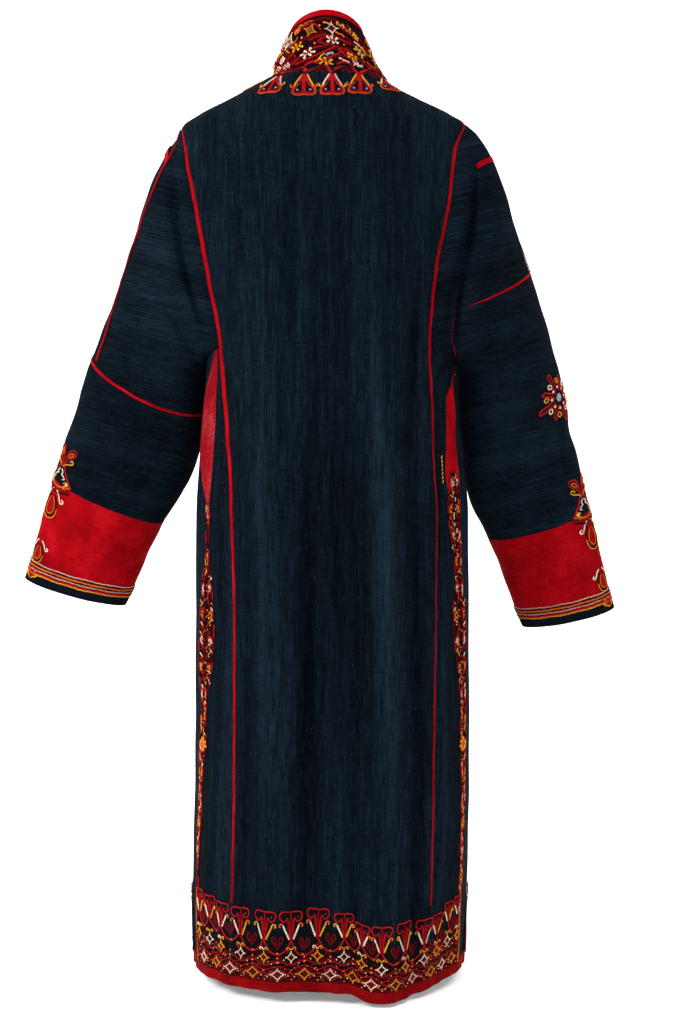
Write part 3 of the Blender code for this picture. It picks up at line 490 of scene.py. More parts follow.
SLEEVE_CREASES = {
    Side.LEFT: rows(
        SleeveCrease,
        (0.20, 0.62, 62.0, 8.0, 5.0, -0.0020), (0.55, 0.78, 118.0, -6.0, 5.0, -0.0022),
        (0.78, 0.97, 84.0, 10.0, 6.0, -0.0014), (0.30, 0.74, -70.0, 8.0, 6.0, -0.0024),
    ),
    Side.RIGHT: rows(
        SleeveCrease,
        (0.58, 0.79, 38.0, 6.0, 3.4, -0.0042), (0.30, 0.66, 96.0, 10.0, 5.0, -0.0022),
        (0.80, 0.97, 100.0, -8.0, 6.0, -0.0014), (0.30, 0.74, -66.0, 8.0, 6.0, -0.0024),
    ),
}
RIPPLE = 0.0007
TUCKED_TURN = np.radians(120.0)
TUCKED_SPREAD = np.radians(22.0)
TUCKED_SHARE = 0.92
UNDERARM_HANG = 0.0075
UNDERARM_REACH = 0.50
BARS = {Side.LEFT: Bar(-12.0, 0.044, 15.0, 0.060, 0.008), Side.RIGHT: Bar(17.5, 0.086, 33.0, 0.060, 0.0085)}


# ---------------------------------------------------------------- forms


@dataclass(frozen=True)
class BodyForm:
    """The outer face of the coat's body, by the angle round it and the height of its sides.

    Angles are radians from the middle of the back towards the wearer's left.
    """

    folds: tuple[Fold, ...] = BODY_FOLDS + BODY_CREASES
    pucker: float = 0.0003
    pucker_reach: float = 0.018
    pucker_length: float = 0.041
    crumple: float = 0.0006

    def fold_rise(self, angle: Array, height: Array) -> Array:
        """Add up the folds: a bell across each fold's line, faded at its ends.

        Args:
            angle: angles round the body.
            height: height of each row's sides.

        Returns:
            How far the folds stand out.
        """
        total = np.zeros(np.broadcast(angle, height).shape)
        for fold in self.folds:
            way = eased(height, fold.low, fold.high)
            line = np.radians(fold.low_angle + (fold.high_angle - fold.low_angle) * way)
            inside = np.sin(np.pi * np.clip(0.15 + 0.85 * way, 0.0, 1.0)) ** 1.5
            fade = inside if fold.low > HEM else (1 - way) ** 1.2
            total = total + fold.rise * fade * bell_curve((angle - line) / np.radians(fold.spread))
        return total

    def painted_crease_shade(self, angle: Array, height: Array) -> Array:
        """Return the creases' rise alone, for painted shade: paler silk on their ridges, darker between them.
        """
        return BodyForm(folds=BODY_CREASES).fold_rise(angle, height)

    def small_folds(self, angle: Array, height: Array) -> Array:
        """Pucker the cloth along the red strips and crumple it lightly all over.

        Formula: a bell across the strip times a wave down it, whose length wanders, and crossed waves of
        unrelated lengths on the open cloth.

        Args:
            angle: angles round the body.
            height: height of each row's sides.

        Returns:
            How far the small folds stand out.
        """
        total = np.zeros(np.broadcast(angle, height).shape)
        for side in Side:
            away = (angle * side.sign - self.seam(side, "back", height)) * 0.17 / self.pucker_reach
            wave = np.sin(2 * np.pi * height / self.pucker_length + 2.6 * np.sin(11.0 * height + side.sign))
            total = total + self.pucker * bell_curve(away) * wave
        slow = np.sin(9.0 * angle + 14.0 * height + 1.7 * np.sin(6.1 * height))
        quick = np.sin(21.0 * angle - 37.0 * height + 2.0 * np.sin(5.0 * angle))
        still = np.clip((NECK - height) / 0.05, 0.0, 1.0)
        return (total + self.crumple * slow * quick) * still

    def point(self, angle: Array, height: Array) -> Array:
        """Find a point of the outer face.

        Formula: the ring at that height, tilted at the shoulders and let down at the sagging part of the hem,
        and moved straight out by the folds.

        Args:
            angle: angles round the body.
            height: height of each row's sides.

        Returns:
            Points, with x, y and z on the last axis.
        """
        angle, height = np.broadcast_arrays(np.asarray(angle, float), np.asarray(height, float))
        level = BODY_LEVELS.read_all(height)
        x, y, lift = ring(angle, level)
        reach = np.clip(1 - (height - HEM) / HEM_SAG_REACH, 0.0, 1.0) ** 2
        past = np.maximum(HEM_SAG_ANGLE - angle, 0.0) / HEM_SAG_SPREAD
        begun = 0.5 + 0.5 * np.tanh((HEM_SAG_START - angle) / HEM_SAG_STEP)
        z = height + lift - HEM_SAG * reach * begun * bell_curve(past)
        width = (level["left"] + level["right"]) / 2
        depth = np.where(np.cos(angle) > 0, level["back"], level["front"])
        level_out = (np.sin(angle) / width, np.cos(angle) / depth, np.zeros_like(angle))
        outward = unit(np.stack(level_out, axis=-1))
        rise = self.fold_rise(angle, height) + self.small_folds(angle, height)
        return np.stack((x, y, z), axis=-1) + outward * rise[..., None]

    def normal(self, angle: Array, height: Array) -> Array:
        """Return the direction straight out of the face: across the climb and the turn."""
        turn, climb = 0.004, 0.0015
        up = self.point(angle, height + climb) - self.point(angle, height - climb)
        return unit(np.cross(up, self.point(angle + turn, height) - self.point(angle - turn, height)))

    def width(self, angle: Array, height: Array) -> Array:
        """Return the metres of cloth for each radian round the body."""
        across = self.point(angle + TURN_STEP, height) - self.point(angle - TURN_STEP, height)
        return np.linalg.norm(across, axis=-1) / (2 * TURN_STEP)

    def seam(self, side: Side, name: str, height: Array) -> Array:
        """Return a seam's angle, positive on both sides."""
        return np.radians(SEAMS[side].read(name, height))

    def strip_edge(self, side: Side, which: str, outward: float, height: Array) -> Array:
        """Find one edge of a red strip.

        Args:
            side: side of the coat.
            which: "back" or "front" strip.
            outward: 1 for the edge towards the arm and -1 for the other.
            height: heights to read.

        Returns:
            Angles, positive on both sides, which meet at the shoulder's ridge.
        """
        middle = self.seam(side, which, height)
        half = SEAMS[side].read("strip", height) / 2 * STRIP_SHARE
        way = outward if which == "back" else -outward
        edge = middle + half / self.width(side.sign * middle, height) * way
        ridge = np.pi / 2
        limited = np.minimum(edge, ridge) if which == "back" else np.maximum(edge, ridge)
        return np.where(height > TIP[side] + 1e-6, ridge, limited)

    def front_edge(self, height: Array, back_from_edge: float = 0.0) -> Array:
        """Return the angle of the open front's edge, or of a line some metres back from it."""
        way = (height - HEM) / (NECK - HEM)
        half_gap = (FRONT_GAP_AT_HEM + (FRONT_GAP_AT_NECK - FRONT_GAP_AT_HEM) * way) / 2
        return np.pi - (half_gap + back_from_edge) / self.width(np.pi - 0.03, height)

    def gusset_edges(self, side: Side, height: Array) -> tuple[Array, Array]:
        """Return the angles of the gusset's back and front edge, which meet at its foot.

        Args:
            side: side of the coat.
            height: heights to read.

        Returns:
            Angles of the back and the front edge, positive on both sides.
        """
        strip = self.strip_edge(side, "back", 1.0, height)
        least = strip + LEAST_WIDTH / self.width(side.sign * strip, height)
        back = np.maximum(self.seam(side, "gusset_back", height), least)
        front = np.minimum(self.seam(side, "gusset_front", height), self.seam(side, "front", height) - 0.05)
        return back, np.maximum(front, back + LEAST_WIDTH / self.width(side.sign * back, height))


@dataclass(frozen=True)
class SleeveForm:
    """The outer face of one sleeve, by the turn round the arm and the share of the way down it."""

    side: Side
    body: BodyForm
    under_points: int = 60
    side_points: int = 60
    loop: Array = field(init=False, repr=False)
    turns: Array = field(init=False, repr=False)

    def __post_init__(self) -> None:
        """Lay out the armhole: over the tip, down the back, under the arm and up the front."""
        side, body = self.side, self.body
        drop = np.linspace(0.0, 1.0, self.side_points + 1)[1:] ** 1.6
        heights = TIP[side] + (UNDERARM - TIP[side]) * drop
        back = body.point(side.sign * body.strip_edge(side, "back", 1.0, heights), heights)
        front = body.point(side.sign * body.strip_edge(side, "front", 1.0, heights), heights)[::-1]
        low = np.array([UNDERARM])
        ends = [body.strip_edge(side, which, 1.0, low)[0] for which in ("back", "front")]
        under = body.point(side.sign * np.linspace(*ends, self.under_points)[1:-1], UNDERARM)
        tip = body.point(np.array([side.sign * np.pi / 2]), np.array([TIP[side]]))
        loop = np.concatenate((tip, back, under, front, tip))
        way = run_length(loop)
        bottom = len(back) + 1 + int(np.argmax(under[:, 0] * side.sign))
        late = np.arange(len(loop)) > bottom
        turn = np.pi * np.where(late, 1 + (way - way[bottom]) / (way[-1] - way[bottom]), way / way[bottom])
        object.__setattr__(self, "loop", loop)
        object.__setattr__(self, "turns", turn)

    def plain(self, turn: Array, share: Array) -> Array:
        """Lay leaning oval rings between the arm's outer and inner line.

        Args:
            turn: radians round the arm from its outer line.
            share: share of the way down the arm.

        Returns:
            Points of the rings.
        """
        read = SLEEVE_RINGS[self.side].read_all(share)
        lean = FORWARD_LEAN * np.clip(share / LEAN_SHARE, 0.0, 1.0)
        across = 1 + np.cos(turn)
        forward = read["half_depth"] * np.sin(turn)
        x = read["inner_x"] + (read["outer_x"] - read["inner_x"]) / 2 * across
        y = read["middle_y"] + forward * np.cos(lean)
        z = read["inner_z"] + (read["outer_z"] - read["inner_z"]) / 2 * across - forward * np.sin(lean)
        return np.stack(np.broadcast_arrays(self.side.sign * x, y, z), axis=-1)

    def fold_rise(self, turn: Array, share: Array) -> Array:
        """Add up the folds: a bell across each one's line, faded as half a sine along it.

        Args:
            turn: radians round the arm from its outer line.
            share: share of the way down the arm.

        Returns:
            How far the folds, the ripple and the hang under the arm stand out.
        """
        degrees = np.degrees((turn + np.pi) % (2 * np.pi) - np.pi)
        total = np.zeros(np.broadcast(turn, share).shape)
        for fold in SLEEVE_FOLDS[self.side]:
            way = eased(degrees, fold.start, fold.end)
            line = fold.start_share + (fold.end_share - fold.start_share) * way
            total = total + fold.rise * np.sin(np.pi * way) * bell_curve((share - line) / fold.spread)
        for crease in SLEEVE_CREASES[self.side]:
            way = eased(share, crease.start, crease.end)
            away = (degrees - crease.turn - crease.drift * way) / crease.spread
            total = total + crease.rise * np.sin(np.pi * way) ** 0.7 * bell_curve(away)
        ripple = np.sin(61.0 * share + 2.0 * np.sin(2 * turn)) * np.sin(3 * turn + 17.0 * share)
        under = np.clip(-np.cos(turn), 0.0, 1.0) ** 2
        hang = under * np.sin(np.pi * np.clip(share / UNDERARM_REACH, 0.0, 1.0)) ** 0.8
        return total + RIPPLE * ripple * np.clip(share / 0.05, 0.0, 1.0) + UNDERARM_HANG * hang

    def bare(self, turn: Array, share: Array) -> Array:
        """Find a point before its folds: the plain rings, which take on the armhole's shape at the shoulder.

        Args:
            turn: radians round the arm from its outer line.
            share: share of the way down the arm.

        Returns:
            Points of the face without its folds.
        """
        turn, share = np.broadcast_arrays(np.asarray(turn, float), np.asarray(share, float))
        wrapped = turn % (2 * np.pi)
        hole = np.stack([np.interp(wrapped, self.turns, self.loop[:, axis]) for axis in range(3)], axis=-1)
        fade = np.clip(1 - share / ARMHOLE_FADE, 0.0, 1.0)
        fade = fade * fade * (3 - 2 * fade)
        return self.plain(turn, share) + (hole - self.plain(wrapped, np.zeros_like(share))) * fade[..., None]

    def point(self, turn: Array, share: Array) -> Array:
        """Find a point of the outer face: the bare one, moved straight out by the folds."""
        turn, share = np.broadcast_arrays(np.asarray(turn, float), np.asarray(share, float))
        out = unit(np.cross(*self._steps(turn, share))) * self.side.sign
        return self.bare(turn, share) + out * self.fold_rise(turn, share)[..., None]

    def normal(self, turn: Array, share: Array) -> Array:
        """Return the direction straight out of the face: the bare one, tilted by the climb of the folds.

        Args:
            turn: radians round the arm from its outer line.
            share: share of the way down the arm.

        Returns:
            Unit normals.
        """
        along, round_it = self._steps(turn, share)
        out = unit(np.cross(along, round_it)) * self.side.sign
        near, far = self._beside(share)
        climb = self.fold_rise(turn, far) - self.fold_rise(turn, near)
        swell = self.fold_rise(turn + TURN_STEP, share) - self.fold_rise(turn - TURN_STEP, share)
        tilted = np.cross(along + out * climb[..., None], round_it + out * swell[..., None])
        return unit(tilted) * self.side.sign

    def _beside(self, share: Array) -> tuple[Array, Array]:
        """Return the shares a short step nearer and further down the arm."""
        return np.maximum(share - SHARE_STEP, 0.0), np.minimum(share + SHARE_STEP, 1.0)

    def _steps(self, turn: Array, share: Array) -> tuple[Array, Array]:
        """Return the bare face's short steps down the arm and round it."""
        near, far = self._beside(share)
        round_it = self.bare(turn + TURN_STEP, share) - self.bare(turn - TURN_STEP, share)
        return self.bare(turn, far) - self.bare(turn, near), round_it

    def cross(self, turn: Array) -> Array:
        """Return the share of the arm at which the cross seam lies."""
        return CROSS_SEAMS[self.side].read("share", np.degrees(np.pi - np.abs(np.pi - turn % (2 * np.pi))))

    def length(self) -> float:
        """Return the length along the arm's outer line."""
        columns = SLEEVE_RINGS[self.side].columns
        line = np.stack([columns[name] for name in ("outer_x", "middle_y", "outer_z")], axis=1)
        return float(run_length(line)[-1])


@dataclass(frozen=True)
class CollarForm:
    """The outer face of the standing collar, by the angle round it and the share of its height."""

    rumple: float = 0.0017

    def point(self, angle: Array, share: Array) -> Array:
        """Find a point: a leaning ring at that share, crumpled by slanting waves that fade at both edges.

        Args:
            angle: angles round the collar.
            share: share of its height.

        Returns:
            Points, with x, y and z on the last axis.
        """
        angle, share = np.broadcast_arrays(np.asarray(angle, float), np.asarray(share, float))
        level = COLLAR_LEVELS.read_all(share)
        x, y, lift = ring(angle, level)
        wide = COLLAR_RUMPLE * np.sin(3.1 * angle + 9.0 * share)
        slant = 15.0 * share + 2.4 * angle + 0.8 * np.sin(2.0 * angle)
        fine = self.rumple * np.sin(slant) * (0.6 + 0.4 * np.sin(1.3 * angle + 0.7))
        rise = (wide + fine) * np.sin(np.pi * np.clip(share, 0.0, 1.0))
        outward = np.stack((np.sin(angle), np.cos(angle), np.zeros_like(angle)), axis=-1)
        return np.stack((x, y, level["side"] + lift), axis=-1) + outward * rise[..., None]

    def normal(self, angle: Array, share: Array) -> Array:
        """Return the direction straight out of the face."""
        up = self.point(angle, share + 0.01) - self.point(angle, share - 0.01)
        return unit(np.cross(up, self.point(angle + 0.01, share) - self.point(angle - 0.01, share)))


Form = BodyForm | SleeveForm | CollarForm



# ---------------------------------------------------------------- meshes


def grid_faces(index: Array) -> Array:
    """Return the four-sided faces of one grid of numbers or several, one row each."""
    near, far = index[..., :-1, :], index[..., 1:, :]
    corners = (near[..., :-1], near[..., 1:], far[..., 1:], far[..., :-1])
    return np.stack([part.ravel() for part in corners], axis=-1)


def grid_marks(uv: Array) -> Array:
    """Return the UV of each corner of a grid's faces."""
    return np.stack([grid_faces(uv[..., axis]) for axis in range(2)], axis=-1)


def rim(near: Array, far: Array, uv: Array) -> tuple[Array, Array]:
    """Join two rows of points by a strip of faces.

    Args:
        near: numbers of the first row's points.
        far: numbers of the second row's points.
        uv: their UV along the rows.

    Returns:
        The faces and the UV of each corner.
    """
    quads = np.stack((near[:-1], near[1:], far[1:], far[:-1]), axis=-1)
    return quads, np.stack((uv[:-1], uv[1:], uv[1:], uv[:-1]), axis=1)


def fill_mesh(name: str, points: Array, faces: Sequence[Array], uvs: Sequence[Array]) -> bpy.types.Mesh:
    """Put worked-out points and faces into a mesh.

    Args:
        name: name of the mesh.
        points: one row for each point.
        faces: arrays of faces; each array's faces have the same number of corners.
        uvs: for each array of faces, a UV for each of its corners.

    Returns:
        The mesh, smooth shaded.
    """
    mesh = bpy.data.meshes.new(name)
    corners = np.concatenate([part.ravel() for part in faces]).astype(np.int32)
    counts = np.concatenate([np.full(len(part), part.shape[1]) for part in faces]).astype(np.int32)
    mesh.vertices.add(len(points))
    mesh.vertices.foreach_set("co", points.astype(np.float32).ravel())
    mesh.loops.add(len(corners))
    mesh.loops.foreach_set("vertex_index", corners)
    mesh.polygons.add(len(counts))
    starts = np.concatenate(([0], np.cumsum(counts)[:-1])).astype(np.int32)
    mesh.polygons.foreach_set("loop_start", starts)
    layer = mesh.uv_layers.new(name="Cloth")
    marks = np.concatenate([part.reshape(-1, 2) for part in uvs])
    layer.data.foreach_set("uv", marks.astype(np.float32).ravel())
    mesh.update(calc_edges=True)
    mesh.validate()
    mesh.shade_smooth()
    return mesh


def add_piece(
    name: str, mesh: bpy.types.Mesh, nodes: Sequence[str], slot: str, *materials: Material
) -> Piece:
    """Link a piece, dress it, let it ride on the coat's body, hide the solids it replaces and log its faces.

    Args:
        name: name of the piece.
        mesh: its mesh.
        nodes: the solids it replaces.
        slot: not used.
        *materials: its finishes.

    Returns:
        The new object.
    """
    made = bpy.data.objects.new(name, mesh)
    bpy.context.scene.collection.objects.link(made)
    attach(made, BODY)
    if nodes:
        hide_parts(*nodes)
    for material in materials:
        mesh.materials.append(material)
    LOG.info("%s: %d faces", name, len(mesh.polygons))
    return made


@dataclass
class ClothGrid:
    """A piece of cloth as a grid of points on its outer face, with the directions straight out of it.

    Where the weave runs straight through the piece, across or along gives its threads' places.
    """

    points: Array
    normals: Array
    tube: bool = False
    across: Array | None = None
    along: Array | None = None

    def steps(self) -> tuple[Array, Array]:
        """Return the distances along each row and along each column."""
        return tuple(np.linalg.norm(np.diff(self.points, axis=axis), axis=-1) for axis in (1, 0))

    def uv(self) -> Array:
        """Measure the cloth: u in metres along each row from its middle, v in metres along each column.

        Returns:
            One UV for each point of the grid.
        """
        row, down = self.steps()
        u = np.concatenate((np.zeros((row.shape[0], 1)), np.cumsum(row, axis=1)), axis=1)
        u = u - u[:, u.shape[1] // 2][:, None] if self.across is None else self.across
        v = np.concatenate((np.zeros((1, down.shape[1])), np.cumsum(down, axis=0)), axis=0)
        return np.stack((u, v if self.along is None else self.along), axis=-1)

    def cut(self) -> tuple[float, float, float]:
        """Return the width, the length and the area of the flat cut.

        Returns:
            Width and length in metres, and area in square metres.
        """
        row, down = self.steps()
        across, along = np.diff(self.points, axis=1)[:-1], np.diff(self.points, axis=0)[:, :-1]
        area = np.linalg.norm(np.cross(across, along), axis=-1).sum()
        width, length = row.sum(axis=1).max(), down.sum(axis=0).max()
        return float(width), float(length), float(min(area, width * length))

    def shell(self, name: str, proud: float, wall: float = WALL) -> bpy.types.Mesh:
        """Give the cloth its thickness.

        Args:
            name: name of the mesh.
            proud: how far its outer face stands out from the grid.
            wall: how far its inner face lies behind the grid.

        Returns:
            A closed mesh: outer face, inner face and the rims between them.
        """
        count, columns = self.points.shape[:2]
        kept = columns - 1 if self.tube else columns
        outer = (self.points + self.normals * proud)[:, :kept].reshape(-1, 3)
        inner = (self.points - self.normals * wall)[:, :kept].reshape(-1, 3)
        index = np.arange(count * kept).reshape(count, kept)
        if self.tube:
            index = np.concatenate((index, index[:, :1]), axis=1)
        uv = self.uv()
        under = index + count * kept
        faces = [grid_faces(index), grid_faces(under)[:, ::-1]]
        uvs = [grid_marks(uv), grid_marks(uv)[:, ::-1]]
        rims = [(index[0], under[0], uv[0], -1), (index[-1], under[-1], uv[-1], 1)]
        if not self.tube:
            rims += [(index[:, 0], under[:, 0], uv[:, 0], 1), (index[:, -1], under[:, -1], uv[:, -1], -1)]
        for near, far, place, way in rims:
            quads, marks = rim(near, far, place)
            faces.append(quads[:, ::way])
            uvs.append(marks[:, ::way])
        points = np.concatenate((outer, inner))
        a, b, c, d = points[faces[0]].transpose(1, 0, 2)
        outward = self.normals[:-1, :-1].reshape(-1, 3)
        if np.einsum("ij,ij->i", np.cross(c - a, d - b), outward).sum() < 0:
            faces = [part[:, ::-1] for part in faces]
            uvs = [part[:, ::-1] for part in uvs]
        mesh = fill_mesh(name, points, faces, uvs)
        mesh.set_sharp_from_angle(angle=np.radians(55))
        return mesh


def drawn_in(points: Array, tube: bool = False) -> Array:
    """Draw each edge of a grid in by half a seam gap."""
    points = points.copy()
    for grid in (points,) if tube else (points, points.swapaxes(0, 1)):
        grid[0] += unit(grid[1] - grid[0]) * SEAM_GAP / 2
        grid[-1] += unit(grid[-2] - grid[-1]) * SEAM_GAP / 2
    return points


# What is sewn on each cut piece; a name without its side stands for both
SEWN_ON = {
    "back_panel": (
        "seam_strip_back_left", "seam_strip_back_right", "shoulder_piping_left", "shoulder_piping_right",
        "hem_binding", "hem_embroidery_back", "neck_arches", "gusset_stitches",
        *(f"neck_tulip_{number}" for number in range(1, 11)),
    ),
    "front_panel": ("front_binding", "seam_strip_front", "front_embroidery", "hem_embroidery_front"),
    "gore_back": ("side_embroidery", "side_ground"),
    "sleeve_upper": ("sleeve_piping", "overarm_piping", "shoulder_bar"),
    "sleeve_lower": ("sleeve_embroidery",),
    "cuff": ("cuff_edge", "cuff_embroidery"),
    "collar": ("collar_binding", "collar_embroidery"),
}


@dataclass
class Cuts:
    """The cut pieces of cloth, kept until everything that is sewn on them is made."""

    kept: list[tuple[str, Piece, tuple[float, float, float], str]] = field(default_factory=list)

    def keep(self, node: str, piece: Piece, grid: ClothGrid, held: str = "hung") -> None:
        """Keep the flat size of one piece."""
        self.kept.append((node, piece, grid.cut(), held))

    def declare(self) -> None:
        """Look up the trims and the embroidery sewn on every cut, and log the cut's flat size."""
        for node, piece, (width, length, area), held in self.kept:
            side = f"_{node.rsplit('_', 1)[-1]}"
            on_side = [f"{trim}{side}" for trim in SEWN_ON.get(node.removesuffix(side), ())]
            sewn = [self.find(trim) for trim in SEWN_ON.get(node) or on_side]
            LOG.info("%s: cut %.3f by %.3f m, %.4f square metres", node, width, length, area)

    def find(self, name: str) -> Piece:
        """Find a finished piece by its plain name; the solid of that name comes last."""
        made = bpy.data.objects
        return next(made[full] for full in (f"{name}_cloth", f"{name}_silk", name) if full in made)


# ---------------------------------------------------------------- finishes


class Shader:
    """A material's nodes while they are being wired."""

    def __init__(self, name: str) -> None:
        """Start a material with one Principled shader.

        Args:
            name: name of the material.
        """
        self.material = bpy.data.materials.new(name)
        self.material.use_nodes = True
        self.tree = self.material.node_tree
        self.principled = self.tree.nodes["Principled BSDF"]
        self.cloth = self.node("ShaderNodeUVMap", uv_map="Cloth").outputs["UV"]
        self.place = self.node("ShaderNodeTexCoord").outputs["Object"]

    def node(self, kind: str, inputs: dict | None = None, **settings: object) -> bpy.types.Node:
        """Add a node with its settings and its inputs, each a value or a socket to link.

        Args:
            kind: Blender's name for the kind of node.
            inputs: values or sockets, by the input's name or number.
            **settings: the node's own settings.

        Returns:
            The new node.
        """
        made = self.tree.nodes.new(kind)
        for name, value in settings.items():
            setattr(made, name, value)
        for name, value in (inputs or {}).items():
            if isinstance(value, Socket):
                self.tree.links.new(value, made.inputs[name])
            else:
                made.inputs[name].default_value = value
        return made

    def noise(self, place: Socket, scale: Colour, detail: float = 2.0, roughness: float = 0.5) -> Socket:
        """Add noise.

        Args:
            place: coordinates that it is read at.
            scale: how many cells it has in a metre, on each axis.
            detail: how many finer layers it has.
            roughness: how strong they are.

        Returns:
            The noise, from 0 to 1.
        """
        stretched = self.node("ShaderNodeMapping", {"Vector": place, "Scale": scale}).outputs["Vector"]
        values = {"Vector": stretched, "Scale": 1.0, "Detail": detail, "Roughness": roughness}
        return self.node("ShaderNodeTexNoise", values).outputs["Fac"]

    def math(self, operation: str, a: object, b: object = 0.0, c: object = 0.0) -> Socket:
        """Return the result of one operation on two or three values."""
        return self.node("ShaderNodeMath", {0: a, 1: b, 2: c}, operation=operation).outputs[0]

    def total(self, *parts: tuple[Socket, float]) -> Socket:
        """Return the sum of the parts, each a value and its share.

        Args:
            *parts: the values and their shares.

        Returns:
            The sum.
        """
        (value, share), *others = parts
        made = self.math("MULTIPLY", value, share)
        for value, share in others:
            made = self.math("MULTIPLY_ADD", value, share, made)
        return made

    def ramp(self, factor: Socket, *stops: tuple[float, Colour]) -> Socket:
        """Return the colour on a ramp of (place, colour) stops.

        Args:
            factor: value that the ramp is read at.
            *stops: places and colours, in rising order.

        Returns:
            The colour.
        """
        made = self.node("ShaderNodeValToRGB", {"Fac": factor})
        elements = made.color_ramp.elements
        while len(elements) < len(stops):
            elements.new(1.0)
        for element, (place, colour) in zip(elements, stops):
            element.position = place
            element.color = (*colour, 1.0)
        return made.outputs["Color"]

    def mix(self, factor: Socket, a: Socket, b: Colour) -> Socket:
        """Return colour a mixed towards b; a Mix node's colours go in at 6 and 7 and come out at 2."""
        return self.node("ShaderNodeMix", {0: factor, 6: a, 7: (*b, 1.0)}, data_type="RGBA").outputs[2]

    def bump(self, height: Socket, distance: float, strength: float, under: Socket | None = None) -> Socket:
        """Return normals bent by a height, on top of those of another bump."""
        values = {"Height": height, "Distance": distance, "Strength": strength}
        if under is not None:
            values["Normal"] = under
        return self.node("ShaderNodeBump", values).outputs["Normal"]

    def finish(
        self, colour: Socket, roughness: float, gloss: float, normal: Socket | None = None
    ) -> Material:
        """Wire the shader's main inputs.

        Args:
            colour: socket for the base colour.
            roughness: how rough the cloth is.
            gloss: level of its highlights.
            normal: socket for the normals.

        Returns:
            The finished material.
        """
        inputs = self.principled.inputs
        self.tree.links.new(colour, inputs["Base Color"])
        inputs["Roughness"].default_value = roughness
        inputs["Specular IOR Level"].default_value = gloss
        if normal is not None:
            self.tree.links.new(normal, inputs["Normal"])
        return self.material


@dataclass(frozen=True)
class IndigoSilk:
    """Slubby handwoven silk dyed dark indigo, with streaks down its warp."""

    name: str = "indigo_silk"
    warp: Warp = Warp.DOWN
    deep: Colour = (0.0005, 0.0010, 0.0018)
    middle: Colour = (0.0022, 0.0046, 0.0078)
    light: Colour = (0.0085, 0.0185, 0.0290)
    slub: Colour = (0.026, 0.034, 0.040)
    slub_above: float = 0.755
    banding: float = 0.27
    # Strength of the painted shade that the creases' rise gives: darker silk in troughs, paler on ridges.
    painted_crease_shade: float = 10.0

    def build(self) -> Material:
        """Wire fine and broad warp streaks, a fainter weft, sparse slubs, painted crease shade and a light
        crumple.

        Returns:
            The finished material.
        """
        shade = Shader(self.name)

        def threads(across: float, along: float, detail: float = 2.0, roughness: float = 0.5) -> Socket:
            """Add noise that is stretched along the warp."""
            scale = (across, along, 1.0) if self.warp is Warp.DOWN else (along, across, 1.0)
            return shade.noise(shade.cloth, scale, detail, roughness)

        fine, weft = threads(680.0, 30.0, 2.0, 0.60), threads(60.0, 620.0, 2.0, 0.6)
        tone = shade.total(
            (threads(230.0, 9.0), 0.14),
            (fine, 0.34),
            (weft, 0.18),
            (threads(1000.0, 1000.0, 1.0), 0.20),
            (threads(30.0, 0.9, 2.0, 0.6), self.banding),
            (shade.noise(shade.place, (9.0, 9.0, 3.0)), 0.38 - self.banding),
            # Painted shade: the creases' rise, kept on each point, darkens the troughs and pales the ridges.
            (shade.node("ShaderNodeAttribute", attribute_name="painted_crease_shade").outputs["Fac"], self.painted_crease_shade),
        )
        colour = shade.ramp(tone, (0.50, self.deep), (0.62, self.middle), (0.78, self.light))
        speck = shade.math("GREATER_THAN", threads(420.0, 170.0, 1.0), self.slub_above)
        colour = shade.mix(shade.math("MULTIPLY", speck, 0.6), colour, self.slub)
        normal = shade.bump(shade.noise(shade.place, (40.0, 40.0, 30.0), 3.0, 0.55), 0.0060, 0.45)
        normal = shade.bump(shade.math("ADD", fine, weft), 0.0012, 0.65, normal)
        return shade.finish(colour, 0.9, 0.012, normal)


@dataclass(frozen=True)
class RedSilk:
    """Plain red silk with a fine crossed weave and worn, darker ribs."""

    name: str = "red_silk"
    deep: Colour = (0.110, 0.0004, 0.0016)
    middle: Colour = (0.245, 0.0008, 0.0032)
    light: Colour = (0.40, 0.005, 0.010)
    crumple: float = 0.45

    def build(self) -> Material:
        """Wire crossed threads over slow changes of tone, with short creases in the bump.

        Returns:
            The finished material.
        """
        shade = Shader(self.name)
        round_it = shade.noise(shade.cloth, (60.0, 900.0, 1.0), 3.0, 0.6)
        along = shade.noise(shade.cloth, (700.0, 45.0, 1.0))
        slow = shade.noise(shade.place, (30.0, 30.0, 22.0), 3.0)
        tone = shade.total((along, 0.20), (round_it, 0.45), (slow, 0.40))
        colour = shade.ramp(tone, (0.36, self.deep), (0.54, self.middle), (0.74, self.light))
        normal = shade.bump(shade.noise(shade.cloth, (26.0, 150.0, 1.0)), 0.0030, self.crumple)
        normal = shade.bump(shade.math("ADD", round_it, along), 0.0008, 0.45, normal)
        return shade.finish(colour, 0.8, 0.015, normal)


@dataclass(frozen=True)
class ThreadFinish:
    """Silk embroidery thread in chain stitch, whose links show along each line."""

    thread: Thread
    link: float = 0.0024
    # Shares of the thread's colour at the darkest and palest stop; they carry the random tone and the links'
    # painted shade.
    darker: float = 0.42
    lighter: float = 1.25

    def build(self) -> Material:
        """Wire links along the line, painted darker as shade where one enters the next, and a change of tone.

        Returns:
            The finished material.
        """
        shade = Shader(f"thread_{self.thread.name.lower()}")
        parts = shade.node("ShaderNodeSeparateXYZ", {"Vector": shade.cloth})
        bend = shade.math("MULTIPLY", shade.math("ABSOLUTE", parts.outputs["Y"]), 0.9)
        phase = shade.math("MULTIPLY_ADD", parts.outputs["X"], 2 * np.pi / self.link, bend)
        # Painted shade and light: each link is paler at its crown and darker where it enters the next.
        links = shade.math("MULTIPLY_ADD", shade.math("SINE", phase), 0.5, 0.5)
        tone = shade.total((shade.noise(shade.place, (160.0, 160.0, 160.0)), 0.7), (links, 0.45))
        given = np.array(self.thread.value)
        dark, light = (np.minimum(given * times, 1.0) for times in (self.darker, self.lighter))
        colour = shade.ramp(tone, (0.18, dark), (0.48, self.thread.value), (0.86, light))
        return shade.finish(colour, 0.70, 0.03, shade.bump(links, 0.0006, 0.6))


